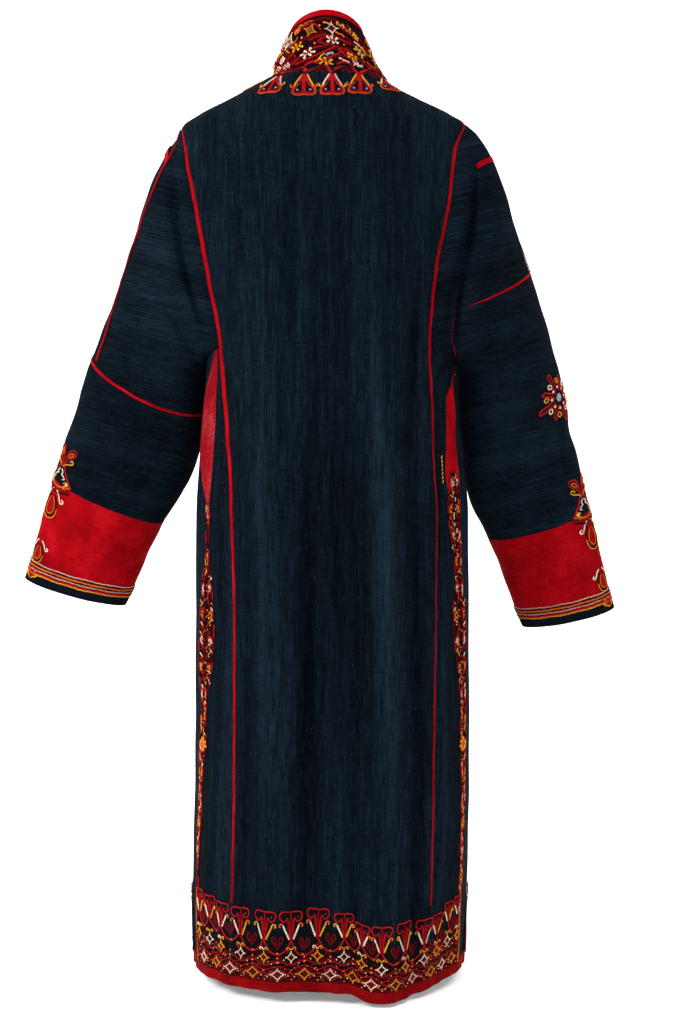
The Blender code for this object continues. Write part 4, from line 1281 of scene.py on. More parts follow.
@dataclass(frozen=True)
class StitchedGround:
    """Dense ground of chain stitch in crimson and maroon, broken by black fields."""

    name: str = "stitched_ground"
    black_above: float = 0.47

    def build(self) -> Material:
        """Wire wandering rows of stitches in patches of three colours.

        Returns:
            The finished material.
        """
        shade = Shader(self.name)
        patch = shade.noise(shade.cloth, (120.0, 150.0, 1.0), 2.0, 0.55)
        row = shade.noise(shade.cloth, (130.0, 800.0, 1.0))
        fields = ((0.20, CRIMSON), (0.07, MAROON), (0.0, BLACK))
        stops = [(self.black_above - below, thread.value) for below, thread in fields]
        colour = shade.mix(shade.math("MULTIPLY", row, 0.07), shade.ramp(patch, *stops), CRIMSON.value)
        return shade.finish(colour, 0.85, 0.01, shade.bump(row, 0.0010, 0.7))


@dataclass(frozen=True)
class Studio:
    """Plain pale floor that curves up behind the coat, seen through from its far side."""

    name: str = "studio_paper"
    tone: float = 0.90
    change: float = 0.03
    glow: float = 0.20

    def build(self) -> Material:
        """Wire a pale paper with the faintest change of tone.

        Returns:
            The finished material.
        """
        shade = Shader(self.name)
        slow = shade.noise(shade.place, (1.5, 1.5, 1.5), 1.0)
        colour = shade.ramp(slow, (0.0, (self.tone,) * 3), (1.0, (self.tone + self.change,) * 3))
        shade.principled.inputs["Emission Color"].default_value = (1.0, 1.0, 1.0, 1.0)
        shade.principled.inputs["Emission Strength"].default_value = self.glow
        behind = shade.node("ShaderNodeNewGeometry").outputs["Backfacing"]
        clear = shade.node("ShaderNodeBsdfTransparent").outputs[0]
        paper = shade.node("ShaderNodeMixShader", {0: behind, 1: shade.principled.outputs[0], 2: clear})
        shade.tree.links.new(paper.outputs[0], shade.tree.get_output_node("ALL").inputs["Surface"])
        return shade.finish(colour, 0.9, 0.0)


class Finishes:
    """Every material of the coat, built once."""

    def __init__(self) -> None:
        """Build the cloths and the threads."""
        self.indigo = IndigoSilk().build()
        self.indigo_sleeve = IndigoSilk(name="indigo_silk_sleeve", warp=Warp.ACROSS, banding=0.14).build()
        dark = {"middle": (0.0026, 0.0040, 0.0060), "light": (0.007, 0.011, 0.016)}
        self.dark_edge = IndigoSilk(name="dark_edging", warp=Warp.ACROSS, **dark).build()
        self.red = RedSilk().build()
        self.cuff = RedSilk(name="red_silk_cuff", crumple=0.8).build()
        wear_and_shade = {"middle": (0.20, 0.004, 0.008), "light": (0.34, 0.055, 0.070)}
        self.gusset = RedSilk(name="worn_red_silk", crumple=1.0, **wear_and_shade).build()
        # The hem binding's red is darker of its own, and painted darker still as shade because it faces down.
        darker_and_shaded = {"middle": (0.150, 0.0014, 0.0020), "light": (0.24, 0.004, 0.005)}
        self.hem = RedSilk(name="red_silk_hem", deep=(0.060, 0.0008, 0.0012), **darker_and_shaded).build()
        self.collar = StitchedGround(name="collar_ground", black_above=0.28).build()
        self.ground = StitchedGround().build()
        self.threads = {thread: ThreadFinish(thread).build() for thread in Thread}
        self.dark = self.threads[BLACK]



# ---------------------------------------------------------------- embroidery


class Stroke(NamedTuple):
    """One line of stitches: its thread, its width and its points, in millimetres."""

    thread: Thread
    width: float
    line: Array

    def moved(self, scale: Point, shift: Point) -> "Stroke":
        """Return the line stretched and then shifted."""
        return self._replace(line=self.line * scale + shift)


class Dot(NamedTuple):
    """One round of stitches: its thread, its radius and its middle, in millimetres."""

    thread: Thread
    radius: float
    middle: Point = (0.0, 0.0)

    def moved(self, scale: Point, shift: Point) -> "Dot":
        """Return the round at its stretched and shifted place."""
        return self._replace(middle=tuple(np.array(self.middle) * scale + shift))


Motif = list[Stroke | Dot]


def stroke(thread: Thread, width: float, *points: Point) -> Stroke:
    """Return a line of stitches drawn smoothly through its points."""
    return Stroke(thread, width, spline(points))


def moved(motif: Motif, scale: Point = (1.0, 1.0), shift: Point = (0.0, 0.0)) -> Motif:
    """Return a motif stretched and then shifted."""
    return [part.moved(scale, shift) for part in motif]


def mirrored(motif: Motif) -> Motif:
    """Return a motif's other half, mirrored across its upright axis."""
    return moved(motif, (-1.0, 1.0))


def both(*half: Stroke | Dot) -> Motif:
    """Return a motif from its one half."""
    return [*half, *mirrored(half)]


def tulip() -> Motif:
    """Draw an upright tulip with two hanging ears, on a stem that rises from the origin."""
    ear = (
        (0, 35.6), (6, 36.4), (11.6, 36.2), (14.2, 32.6), (13.6, 28), (10.4, 24.4), (7.0, 24.8), (5.4, 28.2),
    )
    return both(
        Dot(BLACK, 4.6, (8.9, 30.2)),
        stroke(BLACK, 4.0, (2.6, 32.6), (5.2, 33.0), (7.6, 32.4)),
        stroke(CRIMSON, 1.5, (4.0, 14), (4.6, 21), (4.0, 27.0)),
        stroke(RED, 1.9, *ear),
        stroke(RED, 1.9, (1.6, 1), (2.0, 9), (2.4, 18), (3.4, 25), (5.4, 29.5)),
        Dot(GREY, 1.3, (9.4, 30.2)),
    ) + [stroke(CRIMSON, 2.6, (0, 0), (0, 16), (0, 34))]


def bell() -> Motif:
    """Draw a wide bell that stands on the origin, with two dark lobes in its broad end."""
    side = ((2.4, 0.5), (3.6, 7), (5.6, 14), (10.4, 18), (13.6, 22.6), (13.0, 27.0), (8.6, 28.8), (0, 27.6))
    return both(
        stroke(BLACK, 5.2, (3.4, 11), (5.2, 16.6), (8.6, 22.0)),
        stroke(RED, 3.0, *side),
        stroke(RED, 2.6, (0.9, 1), (1.1, 14), (1.2, 26)),
        stroke(CRIMSON, 1.4, (2.2, 12), (2.6, 18), (2.2, 24.6), (5.4, 25.4), (9.8, 25.2)),
        stroke(ORANGE, 1.0, (12.4, 18.4), (15.4, 22.6), (14.6, 28.2), (8.8, 30.4), (0, 29.6)),
        Dot(GREY, 1.7, (8.2, 22.4)),
    )


def arch(pitch: float, depth: float) -> Motif:
    """Draw the pointed arch between two bells' feet, with a pair of loops hanging in it.

    Args:
        pitch: how far the feet are apart.
        depth: how far the arch's point is from them.

    Returns:
        The motif, from the first foot.
    """
    bend = ((-0.30 * pitch, -0.34 * depth), (-0.12 * pitch, -0.78 * depth))
    run = stroke(RED, 3.2, (0.6 - pitch / 2, 0.5), *bend, (0, -depth))
    halves = both(
        Stroke(CRIMSON, 1.6, run.line + (0.0, 2.9)),
        run,
        stroke(CRIMSON, 1.5, (0.6, -7.4), (1.4, -1.6), (3.8, 1.6), (5.6, -0.4), (4.4, -4.6), (2.0, -8.2)),
        stroke(CRIMSON, 1.5, (1.8, -9.6), (6.8, -6.4), (8.4, -1.6)),
    )
    inside = ((-0.23 * pitch, -0.30 * depth), (0, -0.50 * depth), (0.23 * pitch, -0.30 * depth))
    made = [stroke(BLACK, 0.55 * depth, *inside), *halves, Dot(RED, 1.8, (0.0, -depth))]
    return moved(made, shift=(pitch / 2, 0.0))


def peak() -> Motif:
    """Draw the top of an arch where it runs over the collar's seam."""
    halves = both(
        stroke(BLACK, 3.6, (-7.0, 0.6), (0.0, 2.0)), stroke(RED, 2.8, (-10.0, -1.6), (-5.6, 2.6), (0.0, 5.6))
    )
    return halves + [stroke(CRIMSON, 1.2, (-10.0, 2.2), (0.0, 9.0), (10.0, 2.2))]


def hooks(left: Thread, right: Thread, curl: Thread, splay: float = 1.0) -> Motif:
    """Draw a pair of tendrils that rise in a V from the origin and curl outwards.

    Args:
        left: colour of the left stem.
        right: colour of the right stem.
        curl: colour of both ends.
        splay: how much wider and lower than usual they spread.

    Returns:
        The motif.
    """
    end = stroke(curl, 1.8, (10.2, 19.4), (11.8, 21.4), (14.2, 20.8), (14.8, 18.4), (13.2, 17.2))
    stem = ((2.8, 1.5), (5.8, 8.5), (8.8, 15.5), (10.2, 19.4))
    halves = [[stroke(thread, 2.1, *stem), end] for thread in (right, left)]
    return moved(halves[0] + mirrored(halves[1]), (splay, 1.0 / splay))


def pod(pitch: float, depth: float = 16.5) -> Motif:
    """Draw the hanging arch from one tulip's foot to the next, with a pair of small loops inside.

    Args:
        pitch: how far the feet are apart.
        depth: how far the arch hangs down.

    Returns:
        The motif, from the first foot.
    """
    side = [(0, 0.4), (2.6, -5.0), (7.0, -0.70 * depth), (12.0, -0.93 * depth), (pitch / 2, -depth)]
    loop = (
        (0.3, -9.0), (2.6, -5.6), (5.8, -1.0), (6.4, 3.2), (4.4, 5.0), (2.4, 3.2), (1.8, -2.0), (1.2, -5.0),
    )
    inside = both(stroke(CRIMSON, 1.7, *loop)) + [Dot(ORANGE, 1.6, (0.0, 0.8 - depth))]
    whole = stroke(RED, 1.9, *side, *((pitch - x, y) for x, y in side[-2::-1]))
    return [whole, *moved(inside, shift=(pitch / 2, 0.0))]


def diamond(wide: float, tall: float, edge: Thread, inner: Thread, heart: Thread) -> Motif:
    """Draw a diamond with curved sides, an inner ring and a round heart.

    Args:
        wide: half its width.
        tall: half its height.
        edge: colour of its sides.
        inner: colour of the ring inside.
        heart: colour of its middle.

    Returns:
        The motif, about the origin.
    """
    corners = [(0, tall), (wide, 0), (0, -tall), (-wide, 0), (0, tall)]
    sides = [
        spline([(ax, ay), (0.43 * (ax + bx), 0.43 * (ay + by)), (bx, by)])
        for (ax, ay), (bx, by) in zip(corners[:-1], corners[1:])
    ]
    small = min(wide, tall)
    rings = [Stroke(inner, 1.1, side * 0.56) for side in sides] + [Stroke(edge, 1.3, side) for side in sides]
    tips = [Dot(edge, 0.9, (1.24 * x, 1.20 * y)) for x, y in corners[:-1]]
    return [Dot(BLACK, 0.62 * small), *rings, *tips, Dot(heart, 0.30 * small)]


def crown(left: Thread, right: Thread) -> Motif:
    """Draw the two small leaves that stand on a diamond."""
    curl = ((0.4, 0), (2.4, 2.6), (5.0, 3.2), (6.0, 1.2), (4.2, 0.2))
    return [stroke(right, 1.5, *curl), *mirrored([stroke(left, 1.5, *curl)])]


# The foot and the tip of three petals, in half lengths of the flower
FLORET_PETALS = (((-0.45, 0.10), (-0.92, 0.34)), ((-0.02, 0.16), (-0.20, 0.54)), ((0.42, 0.12), (0.72, 0.46)))


def floret(petals: Thread, heart: Thread, reach: float) -> Motif:
    """Draw a long flower: three pairs of plump petals that lean outwards along a heart.

    Args:
        petals: colour of the petals.
        heart: colour of the heart.
        reach: half its length.

    Returns:
        The motif, about the origin.
    """
    half: Motif = []
    for petal in FLORET_PETALS:
        start, end = np.array(petal) * reach
        half += [stroke(petals, 2.2, start, end), Dot(petals, 1.7, tuple(end))]
    middle = stroke(heart, 1.3, (-0.7 * reach, -0.1 * reach), (0.7 * reach, 0.1 * reach))
    return [*half, *moved(half, (-1.0, -1.0)), middle]


def leaf(length: float, belly: float) -> Motif:
    """Draw a long leaf outlined by two bows inside two darker ones, centred on the origin.

    Args:
        length: length of the leaf.
        belly: how far its bows swell.

    Returns:
        The motif, about the origin.
    """
    half = length / 2
    bow = spline([(-half, 0), (-0.4 * half, belly), (0.4 * half, belly), (half, 0)])
    dark = [Stroke(MAROON, 1.7, bow * (1.06, 1.0) + (0.0, 2.9)), Stroke(CRIMSON, 1.6, bow * (0.72, 0.50))]
    upper = [*dark, Stroke(RED, 2.2, bow)]
    return upper + moved(upper, (1.0, -1.0))


def flow(edge: Thread, width: float, *points: Point) -> Motif:
    """Draw a run of colour with a darker line on each side of it.

    Args:
        edge: colour of the run.
        width: its width.
        *points: points that it runs through.

    Returns:
        The motif.
    """
    line = spline(points)
    beside = np.array((-0.35, 1.0)) * (width / 2 + 1.5)
    sides = [Stroke(MAROON, 1.1, line + beside), Stroke(CRIMSON, 1.1, line - beside)]
    return [*sides, Stroke(edge, width, line)]


def sprig() -> Motif:
    """Draw a pair of tall red loops with smaller ones inside, and yellow tendrils at their foot."""
    rising = ((1.0, 0), (1.6, 8), (3.2, 15), (6.6, 20), (10.6, 20.4))
    return both(
        stroke(RED, 1.9, *rising, (12.4, 16.8), (10.0, 13.0), (5.6, 9.6), (2.6, 3)),
        stroke(ORANGE, 1.6, (4.4, 11), (6.2, 15.6), (9.2, 17.4), (9.8, 15.4), (7.0, 12.4)),
        stroke(YELLOW, 1.7, (1.2, 0), (5.4, 3.6), (10.0, 5.4), (12.2, 8.2), (10.2, 10.0), (8.6, 7.8)),
    )


def gable() -> Motif:
    """Draw a steep roof of red and black lines with white hooks and yellow loops under it."""
    eave = spline([(0.4, -6), (6, -5), (11.4, -2.6), (16, -1)])
    return both(
        Dot(BLACK, 4.4, (4.6, 3.4)),
        stroke(RED, 2.4, (0, 21), (4.6, 15), (9.6, 7), (16.4, -1.5)),
        Stroke(ORANGE, 2.0, eave),
        Stroke(CRIMSON, 2.2, eave + (0.4, -3.0)),
        Stroke(BLACK, 2.2, eave + (0.2, -6.2)),
        stroke(CREAM, 1.9, (1.2, 13), (3.8, 10.6), (2.4, 8.0), (5.4, 6.6), (7.6, 4.2), (4.8, 3.2)),
        stroke(YELLOW, 1.6, (8, 0.4), (11, 2.6), (13.2, 0.6), (10.6, -1.2), (8.4, -3.6), (11.4, -4.8)),
        Dot(CREAM, 1.3, (11.0, 0.2)),
    )


def drop() -> Motif:
    """Draw a hanging drop ringed in orange, black and yellow, with a white hook beside it."""
    return both(
        stroke(RED, 3.0, (1.4, 5), (2.2, -1), (1.4, -6)),
        stroke(ORANGE, 1.7, (1.6, 9), (4.6, 3.4), (5.4, -3.4), (3.2, -8), (0, -9.4)),
        stroke(BLACK, 2.0, (2.2, 11.4), (6.6, 4.4), (7.6, -3.6), (5.0, -10), (0, -12)),
        stroke(YELLOW, 1.2, (8.6, -1), (8.2, -7), (5.8, -12), (0, -14)),
        stroke(CREAM, 1.8, (3, 17), (6.8, 13.6), (9.2, 8.8), (11.6, 6.2), (13.4, 8.8), (11.2, 10.6)),
    )


def rosette() -> Motif:
    """Draw a round flower of red arms about a pale heart, with yellow rings and white dots between them.

    Returns:
        The motif, about the origin.
    """
    made: Motif = []
    ring_line = spline([(5.6, 13.4), (8.4, 15.2), (7.2, 18.6), (4.0, 17.4), (5.6, 13.4)])
    for number, turn in enumerate(np.radians(np.arange(0, 360, 45))):
        way = np.array([[np.cos(turn), np.sin(turn)], [-np.sin(turn), np.cos(turn)]])
        reach, thread = ((27.0, YELLOW), (22.0, CREAM))[number % 2]
        arm = spline([(-2.4, 7), (-3.0, 14), (-4.6, reach), (-0.6, reach - 1.6), (0.4, 15), (1.8, 8)])
        made += [Stroke(RED, 2.2, arm @ way), Stroke(thread, 1.7, ring_line @ way)]
        made.append(Dot(CREAM, 1.5, tuple(np.array([3.2, 10.4]) @ way)))
    return made + [Dot(GREY, 4.6), Dot(CREAM, 2.2, (0.6, 0.4))]


SIDE_PITCH = 34.0
SIDE_BITS = 22
SIDE_COLOURS = (
    ORANGE, RED, CREAM, CRIMSON, BLACK, YELLOW, CRIMSON, PINK, RED, ORANGE, BLACK, CRIMSON, MAROON,
)


def side_bits(number: int) -> Motif:
    """Draw one length of the side border: close short stitches whose colours and slants change all along it.

    Formula: each stitch's place, slant and length come from its number times a fraction that never repeats.

    Args:
        number: which length it is, counted from the hem.

    Returns:
        The motif, about the middle of its length.
    """
    made: Motif = []
    for k in range(SIDE_BITS):
        place = SIDE_BITS * number + k
        way = 1.0 if k % 2 else -1.0
        aside = way * (1.2 + 9.6 * ((place * 0.618) % 1.0))
        middle = np.array((aside, SIDE_PITCH * ((k + 0.5) / SIDE_BITS - 0.5)))
        lean = 0.9 * np.sin(1.7 * place) * way
        reach = (2.0 + 1.5 * ((place * 0.414) % 1.0)) * np.array((np.sin(lean), np.cos(lean)))
        bit = (middle - reach, middle + (0.0, 0.4), middle + reach)
        made.append(stroke(SIDE_COLOURS[place % len(SIDE_COLOURS)], 1.35, *bit))
        if k % 6 == 3:
            made.append(Dot(ORANGE if number % 2 else YELLOW, 1.2, tuple(middle * (-0.8, 1.0))))
    petal = stroke(RED, 1.7, (3.4, -8), (8.4, -4), (10.6, 2.4), (8.0, 7.6), (4.6, 5.2), (5.4, 0.4))
    inner = Stroke((YELLOW, CREAM)[number % 2], 1.2, petal.line * 0.55 + (3.0, 0.6))
    return made + both(petal, inner)


class NeckRay(NamedTuple):
    """One bell below the collar: degrees and heights of its foot and head, and millimetres below the seam."""

    foot_angle: float
    foot_height: float
    head_angle: float
    head_height: float
    drop: float

    def line(self, height: Array) -> Array:
        """Return the angle of the bell's middle, which leans from its foot's to its head's."""
        way = (height - self.foot_height) / (self.head_height - self.foot_height)
        return np.radians(self.foot_angle + (self.head_angle - self.foot_angle) * way)


NECK_RAYS = rows(
    NeckRay,
    (-146.0, 0.000, -142.0, -0.0260, 8.0), (-108.0, 0.003, -98.0, -0.0200, 5.0),
    (-60.0, 0.001, -42.0, -0.0215, 8.0), (-29.7, -0.0011, -17.4, -0.0289, 8.5),
    (-7.2, -0.0030, -3.9, -0.0304, 11.0), (14.3, -0.0034, 9.5, -0.0300, 11.0),
    (38.0, -0.0020, 31.3, -0.0240, 9.5), (72.0, 0.002, 66.0, -0.0200, 6.0),
    (112.0, 0.002, 106.0, -0.0210, 6.0), (146.0, 0.000, 142.0, -0.0260, 8.0),
)

# Half the side border's width at a level above the hem binding, both in millimetres
SIDE_WIDTHS = {
    Side.LEFT: Table(
        "level half",
        (60.0, 2.2), (132.0, 3.0), (168.0, 4.6), (209.0, 5.6), (250.0, 7.5), (284.0, 9.5), (322.0, 7.0),
        (341.0, 6.0), (365.0, 13.0), (392.0, 19.0), (430.0, 20.0), (470.0, 14.0), (500.0, 8.0), (521.0, 3.0),
        (560.0, 3.0), (580.0, 4.5), (592.0, 4.0),
    ),
    Side.RIGHT: Table(
        "level half",
        (60.0, 4.0), (132.0, 5.6), (209.0, 6.4), (260.0, 8.5), (284.0, 9.5), (312.0, 7.5), (341.0, 8.5),
        (392.0, 14.0), (430.0, 17.0), (455.0, 16.0), (480.0, 10.0), (521.0, 8.0), (552.0, 12.0),
        (590.0, 13.5), (632.0, 7.0),
    ),
}
SIDE_TOP = {Side.LEFT: -0.534, Side.RIGHT: -0.492}
SIDE_LOW = 92.0
CROSSED_FLORETS = -0.842

# The cuff's lines: millimetres above the dark edge, width and thread
CUFF_LINES = (
    (0.9, 1.9, YELLOW),
    (3.6, 2.6, RED),
    (7.0, 1.9, PINK),
    (9.0, 1.6, BLACK),
    (11.4, 2.7, ORANGE),
    (14.0, 1.8, BLACK),
    (16.4, 1.8, PINK),
)
OVERARM_TURN = {Side.LEFT: np.radians(26.0), Side.RIGHT: np.radians(25.0)}
ROSETTE_SHARE = 0.566


class Spot(NamedTuple):
    """A motif on the collar: millimetres along from the middle and up, its turn and its lift off the cloth."""

    motif: Motif
    place: float = 0.0
    level: float = 0.0
    turn: float = 0.0
    lift: float = 0.8


COLLAR_SPOTS = (
    Spot(flow(CRIMSON, 1.8, (-26, 60), (-8, 65), (12, 65), (30, 60)), lift=0.3),
    Spot(flow(RED, 2.0, (34, 61), (46, 52), (56, 42), (62, 30)), lift=0.3),
    Spot(flow(CRIMSON, 1.8, (-60, 52), (-48, 60), (-34, 64)), lift=0.3),
    Spot(flow(CRIMSON, 1.8, (-34, 44), (-20, 42), (-8, 47), (2, 44)), lift=0.3),
    Spot(floret(YELLOW, ORANGE, 4.6), 45, 47, -0.8, lift=1.1),
    Spot(floret(ORANGE, YELLOW, 4.2), -43, 52, 0.5, lift=1.1),
    Spot([stroke(ORANGE, 1.5, (-5, 0), (0, 1.4), (5, 0.4))], -24, 61, 0.1, lift=1.0),
    Spot([Dot(YELLOW, 1.5), Dot(ORANGE, 1.2, (9, -1.6)), Dot(CREAM, 1.2, (20, -6))], 18, 62, lift=1.0),
    Spot([Dot(YELLOW, 1.4), Dot(CREAM, 1.2, (-7, -13)), Dot(ORANGE, 1.3, (8, -9))], 52, 33, lift=1.0),
    Spot([stroke(YELLOW, 1.5, (-3, 3), (0, 0), (4, -2))], -52, 25, lift=1.0),
    Spot(peak(), -17.5, lift=0.9),
    Spot(peak(), 17.9, lift=0.9),
    Spot(peak(), -54.0, 0.0, 0.12, lift=0.9),
    Spot(peak(), 56.0, 0.0, -0.12, lift=0.9),
    Spot(flow(RED, 2.2, (-43, 6), (-23, 23), (8, 28), (24, 24)), lift=0.4),
    Spot(flow(RED, 2.4, (-38, 5), (-20, 11), (0, 20), (12, 27)), lift=0.4),
    Spot(flow(RED, 2.2, (-20, 3), (0, 9), (22, 21), (26, 27)), lift=0.5),
    Spot(flow(RED, 2.2, (22, 24), (32, 19), (44, 10), (57, 1)), lift=0.5),
    Spot(flow(RED, 2.2, (-64, 6), (-52, 14), (-36, 30)), lift=0.4),
    Spot(flow(CRIMSON, 2.2, (-70, 18), (-56, 29), (-38, 38), (-10, 44)), lift=0.3),
    Spot(flow(RED, 2.4, (-22, 36), (-6, 42), (12, 41), (34, 34)), lift=0.4),
    Spot(flow(RED, 2.4, (-48, 50), (-34, 57), (-16, 58), (-6, 50)), lift=0.3),
    Spot(flow(RED, 2.2, (20, 58), (34, 50), (46, 42), (58, 28)), lift=0.4),
    Spot(flow(CRIMSON, 2.2, (28, 44), (42, 32), (54, 18)), lift=0.3),
    Spot(flow(RED, 2.0, (-58, 2), (-46, 8), (-40, 16), (-46, 21), (-54, 15)), lift=0.5),
    Spot(flow(CRIMSON, 2.0, (8, 14), (20, 13), (32, 8)), lift=0.3),
    Spot(leaf(26, 4.6), 27, 18, -0.35, lift=0.4),
    Spot(leaf(24, 4.2), 2, 35, 0.10, lift=0.4),
    Spot(diamond(7.6, 6.4, YELLOW, ORANGE, YELLOW), -22, 50, -0.35, lift=1.1),
    Spot(diamond(7.6, 7.2, CREAM, RED, PURPLE), 9.0, 52, 0.1, lift=1.1),
    Spot(diamond(6.6, 9.4, CREAM, PINK, RED), -56, 41, -0.3, lift=1.1),
    Spot(floret(CREAM, ORANGE, 8.6), -23, 18, 0.50),
    Spot(floret(CREAM, RED, 7.6), 9, 36, -0.15),
    Spot(floret(YELLOW, ORANGE, 8.0), -38, 29, 0.25),
    Spot(floret(YELLOW, ORANGE, 7.6), -2.5, 4.5, -0.25),
    Spot(floret(YELLOW, RED, 5.6), 30, 14, -0.4),
    Spot(floret(YELLOW, GREY, 7.6), 43, 24, -0.95),
    Spot(floret(PINK, CREAM, 6.0), 34, 3, -0.5),
    Spot(floret(CREAM, ORANGE, 4.4), -62, 17, 0.6),
    Spot(floret(YELLOW, ORANGE, 4.8), -72, 7, 1.1),
    Spot(floret(CREAM, RED, 4.6), -52, 6, 0.4),
    Spot([stroke(GREY, 3.2, (-4, -1.6), (0, 0.8), (5, 1))], 3, 14.5, 0.1, lift=1.0),
    Spot([stroke(YELLOW, 1.9, (-9, -5), (-4, -3), (0, 1), (4, 3))], -6, 11.5, 0.2, lift=1.0),
    Spot([stroke(CREAM, 2.2, (-6, 2.4), (-1, 0.2), (5, -2))], 19, 7.5, lift=1.0),
    Spot([stroke(YELLOW, 1.8, (-8, 1), (-2, 0.6), (3, -1.4), (7, -1))], 4, 59, lift=1.0),
    Spot([stroke(ORANGE, 2.2, (-5, 3), (-1, 0), (5, -1), (8, -4))], 18, 46, lift=1.0),
    Spot([stroke(ORANGE, 1.9, (-8, -4), (-3, 0), (2, 4), (4, 8))], -44, 36, 0.1, lift=1.0),
    Spot([stroke(CREAM, 1.9, (-6, -3), (-1, 0), (3, 2))], -48, 2.5, 0.1, lift=1.0),
    Spot([stroke(CREAM, 1.8, (-4, 2), (0, 0), (3, -3))], 44, 37, lift=1.0),
    Spot([stroke(YELLOW, 1.7, (-3, 6), (0, 1), (3, -5))], 51, 28, lift=1.0),
    Spot([stroke(ORANGE, 1.7, (-4, 3), (0, 0), (5, -4))], 54, 9, lift=1.0),
    Spot(crown(YELLOW, ORANGE), -34, 57, 0.2),
    Spot(crown(ORANGE, YELLOW), 32, 52, -0.4),
    Spot(crown(YELLOW, CREAM), 22, 57, -0.2),
    Spot([Dot(ORANGE, 1.7)], -14, 31),
    Spot([Dot(ORANGE, 1.5)], 24, 31),
    Spot([Dot(ORANGE, 1.5)], 46, 12),
    Spot([Dot(YELLOW, 1.5)], -9, 56),
    Spot([Dot(CREAM, 1.3)], -34, 42),
)
COLLAR_REPEATS = ((0.0, 1.0), (-118.0, -1.0), (118.0, -1.0), (-206.0, 1.0), (206.0, 1.0))


class Patch:
    """A stretch of cloth that embroidery is laid on, measured in metres along and up its surface."""

    def __init__(self, surface: Form, along: Point, up: Point, reference: float, centre: float) -> None:
        """Measure the cloth over the patch.

        Args:
            surface: form that the patch lies on.
            along: first and last value of the form's first parameter, in the direction of s.
            up: value of the second parameter at the patch's foot and at its top.
            reference: value of the second parameter at which s is measured.
            centre: value of the first parameter at which s is zero.
        """
        self.surface = surface
        self.a = np.linspace(*along, 241)
        b = np.linspace(*up, 61)
        way = run_length(surface.point(self.a, np.full_like(self.a, reference)))
        order = np.argsort(self.a)
        self.s = way - np.interp(centre, self.a[order], way[order])
        steps = np.linalg.norm(np.diff(surface.point(self.a[:, None], b[None, :]), axis=1), axis=-1)
        climb = np.concatenate((np.zeros((len(self.a), 1)), np.cumsum(steps, axis=1)), axis=1)
        self.t = np.linspace(0.0, climb[:, -1].max(), 121)
        self.b = np.stack([np.interp(self.t, row, b) for row in climb])

    def place(self, s: Array, t: Array) -> tuple[Array, Array]:
        """Find points of the patch and the directions out of it.

        Formula: the form's second parameter is read between the four nearest points of the measured grid.

        Args:
            s: metres along.
            t: metres up.

        Returns:
            Points and unit normals.
        """
        i = np.interp(s, self.s, np.arange(len(self.a)))
        j = np.interp(t, self.t, np.arange(len(self.t)))
        i0, j0 = np.minimum(i.astype(int), len(self.a) - 2), np.minimum(j.astype(int), len(self.t) - 2)
        u, v = i - i0, j - j0
        a = self.a[i0] * (1 - u) + self.a[i0 + 1] * u
        low, high = (self.b[row, j0] * (1 - v) + self.b[row, j0 + 1] * v for row in (i0, i0 + 1))
        b = low * (1 - u) + high * u
        return self.surface.point(a, b), self.surface.normal(a, b)


class LinePatch(Patch):
    """A patch along a line of the cloth: s is measured across the line and t along it, both true to size."""

    def __init__(self, surface: Form, line: Curve, span: Point, way: float = 1.0) -> None:
        """Measure the line.

        Args:
            surface: form that the patch lies on.
            line: the form's first parameter on the line, at given values of the second.
            span: the second parameter where t is zero and at the line's end.
            way: 1 where s grows with the first parameter and -1 where it grows against it.
        """
        self.surface = surface
        self.b = np.linspace(*span, 321)
        self.a = line(self.b)
        self.t = run_length(surface.point(self.a, self.b))
        beside = surface.point(self.a + TURN_STEP, self.b) - surface.point(self.a - TURN_STEP, self.b)
        self.rate = way * 2 * TURN_STEP / np.linalg.norm(beside, axis=-1)

    def place(self, s: Array, t: Array) -> tuple[Array, Array]:
        """Find points s metres across the line and t metres along it, and the directions out of the cloth."""
        a = np.interp(t, self.t, self.a) + s * np.interp(t, self.t, self.rate)
        b = np.interp(t, self.t, self.b)
        return self.surface.point(a, b), self.surface.normal(a, b)


class TurnedPatch(Patch):
    """Another patch with its two directions swapped, for a band that runs up an edge."""

    def __init__(self, inner: Patch) -> None:
        """Keep the patch that is turned."""
        self.inner = inner

    def place(self, s: Array, t: Array) -> tuple[Array, Array]:
        """Find points s metres up the edge and t metres away from it."""
        return self.inner.place(t, s)


def flat_rows(*points: tuple[Array, Array]) -> Array:
    """Return short lines from the places of their points: lines by points by (s, t)."""
    return np.stack([np.stack(np.broadcast_arrays(s, t), -1) for s, t in points], 1)


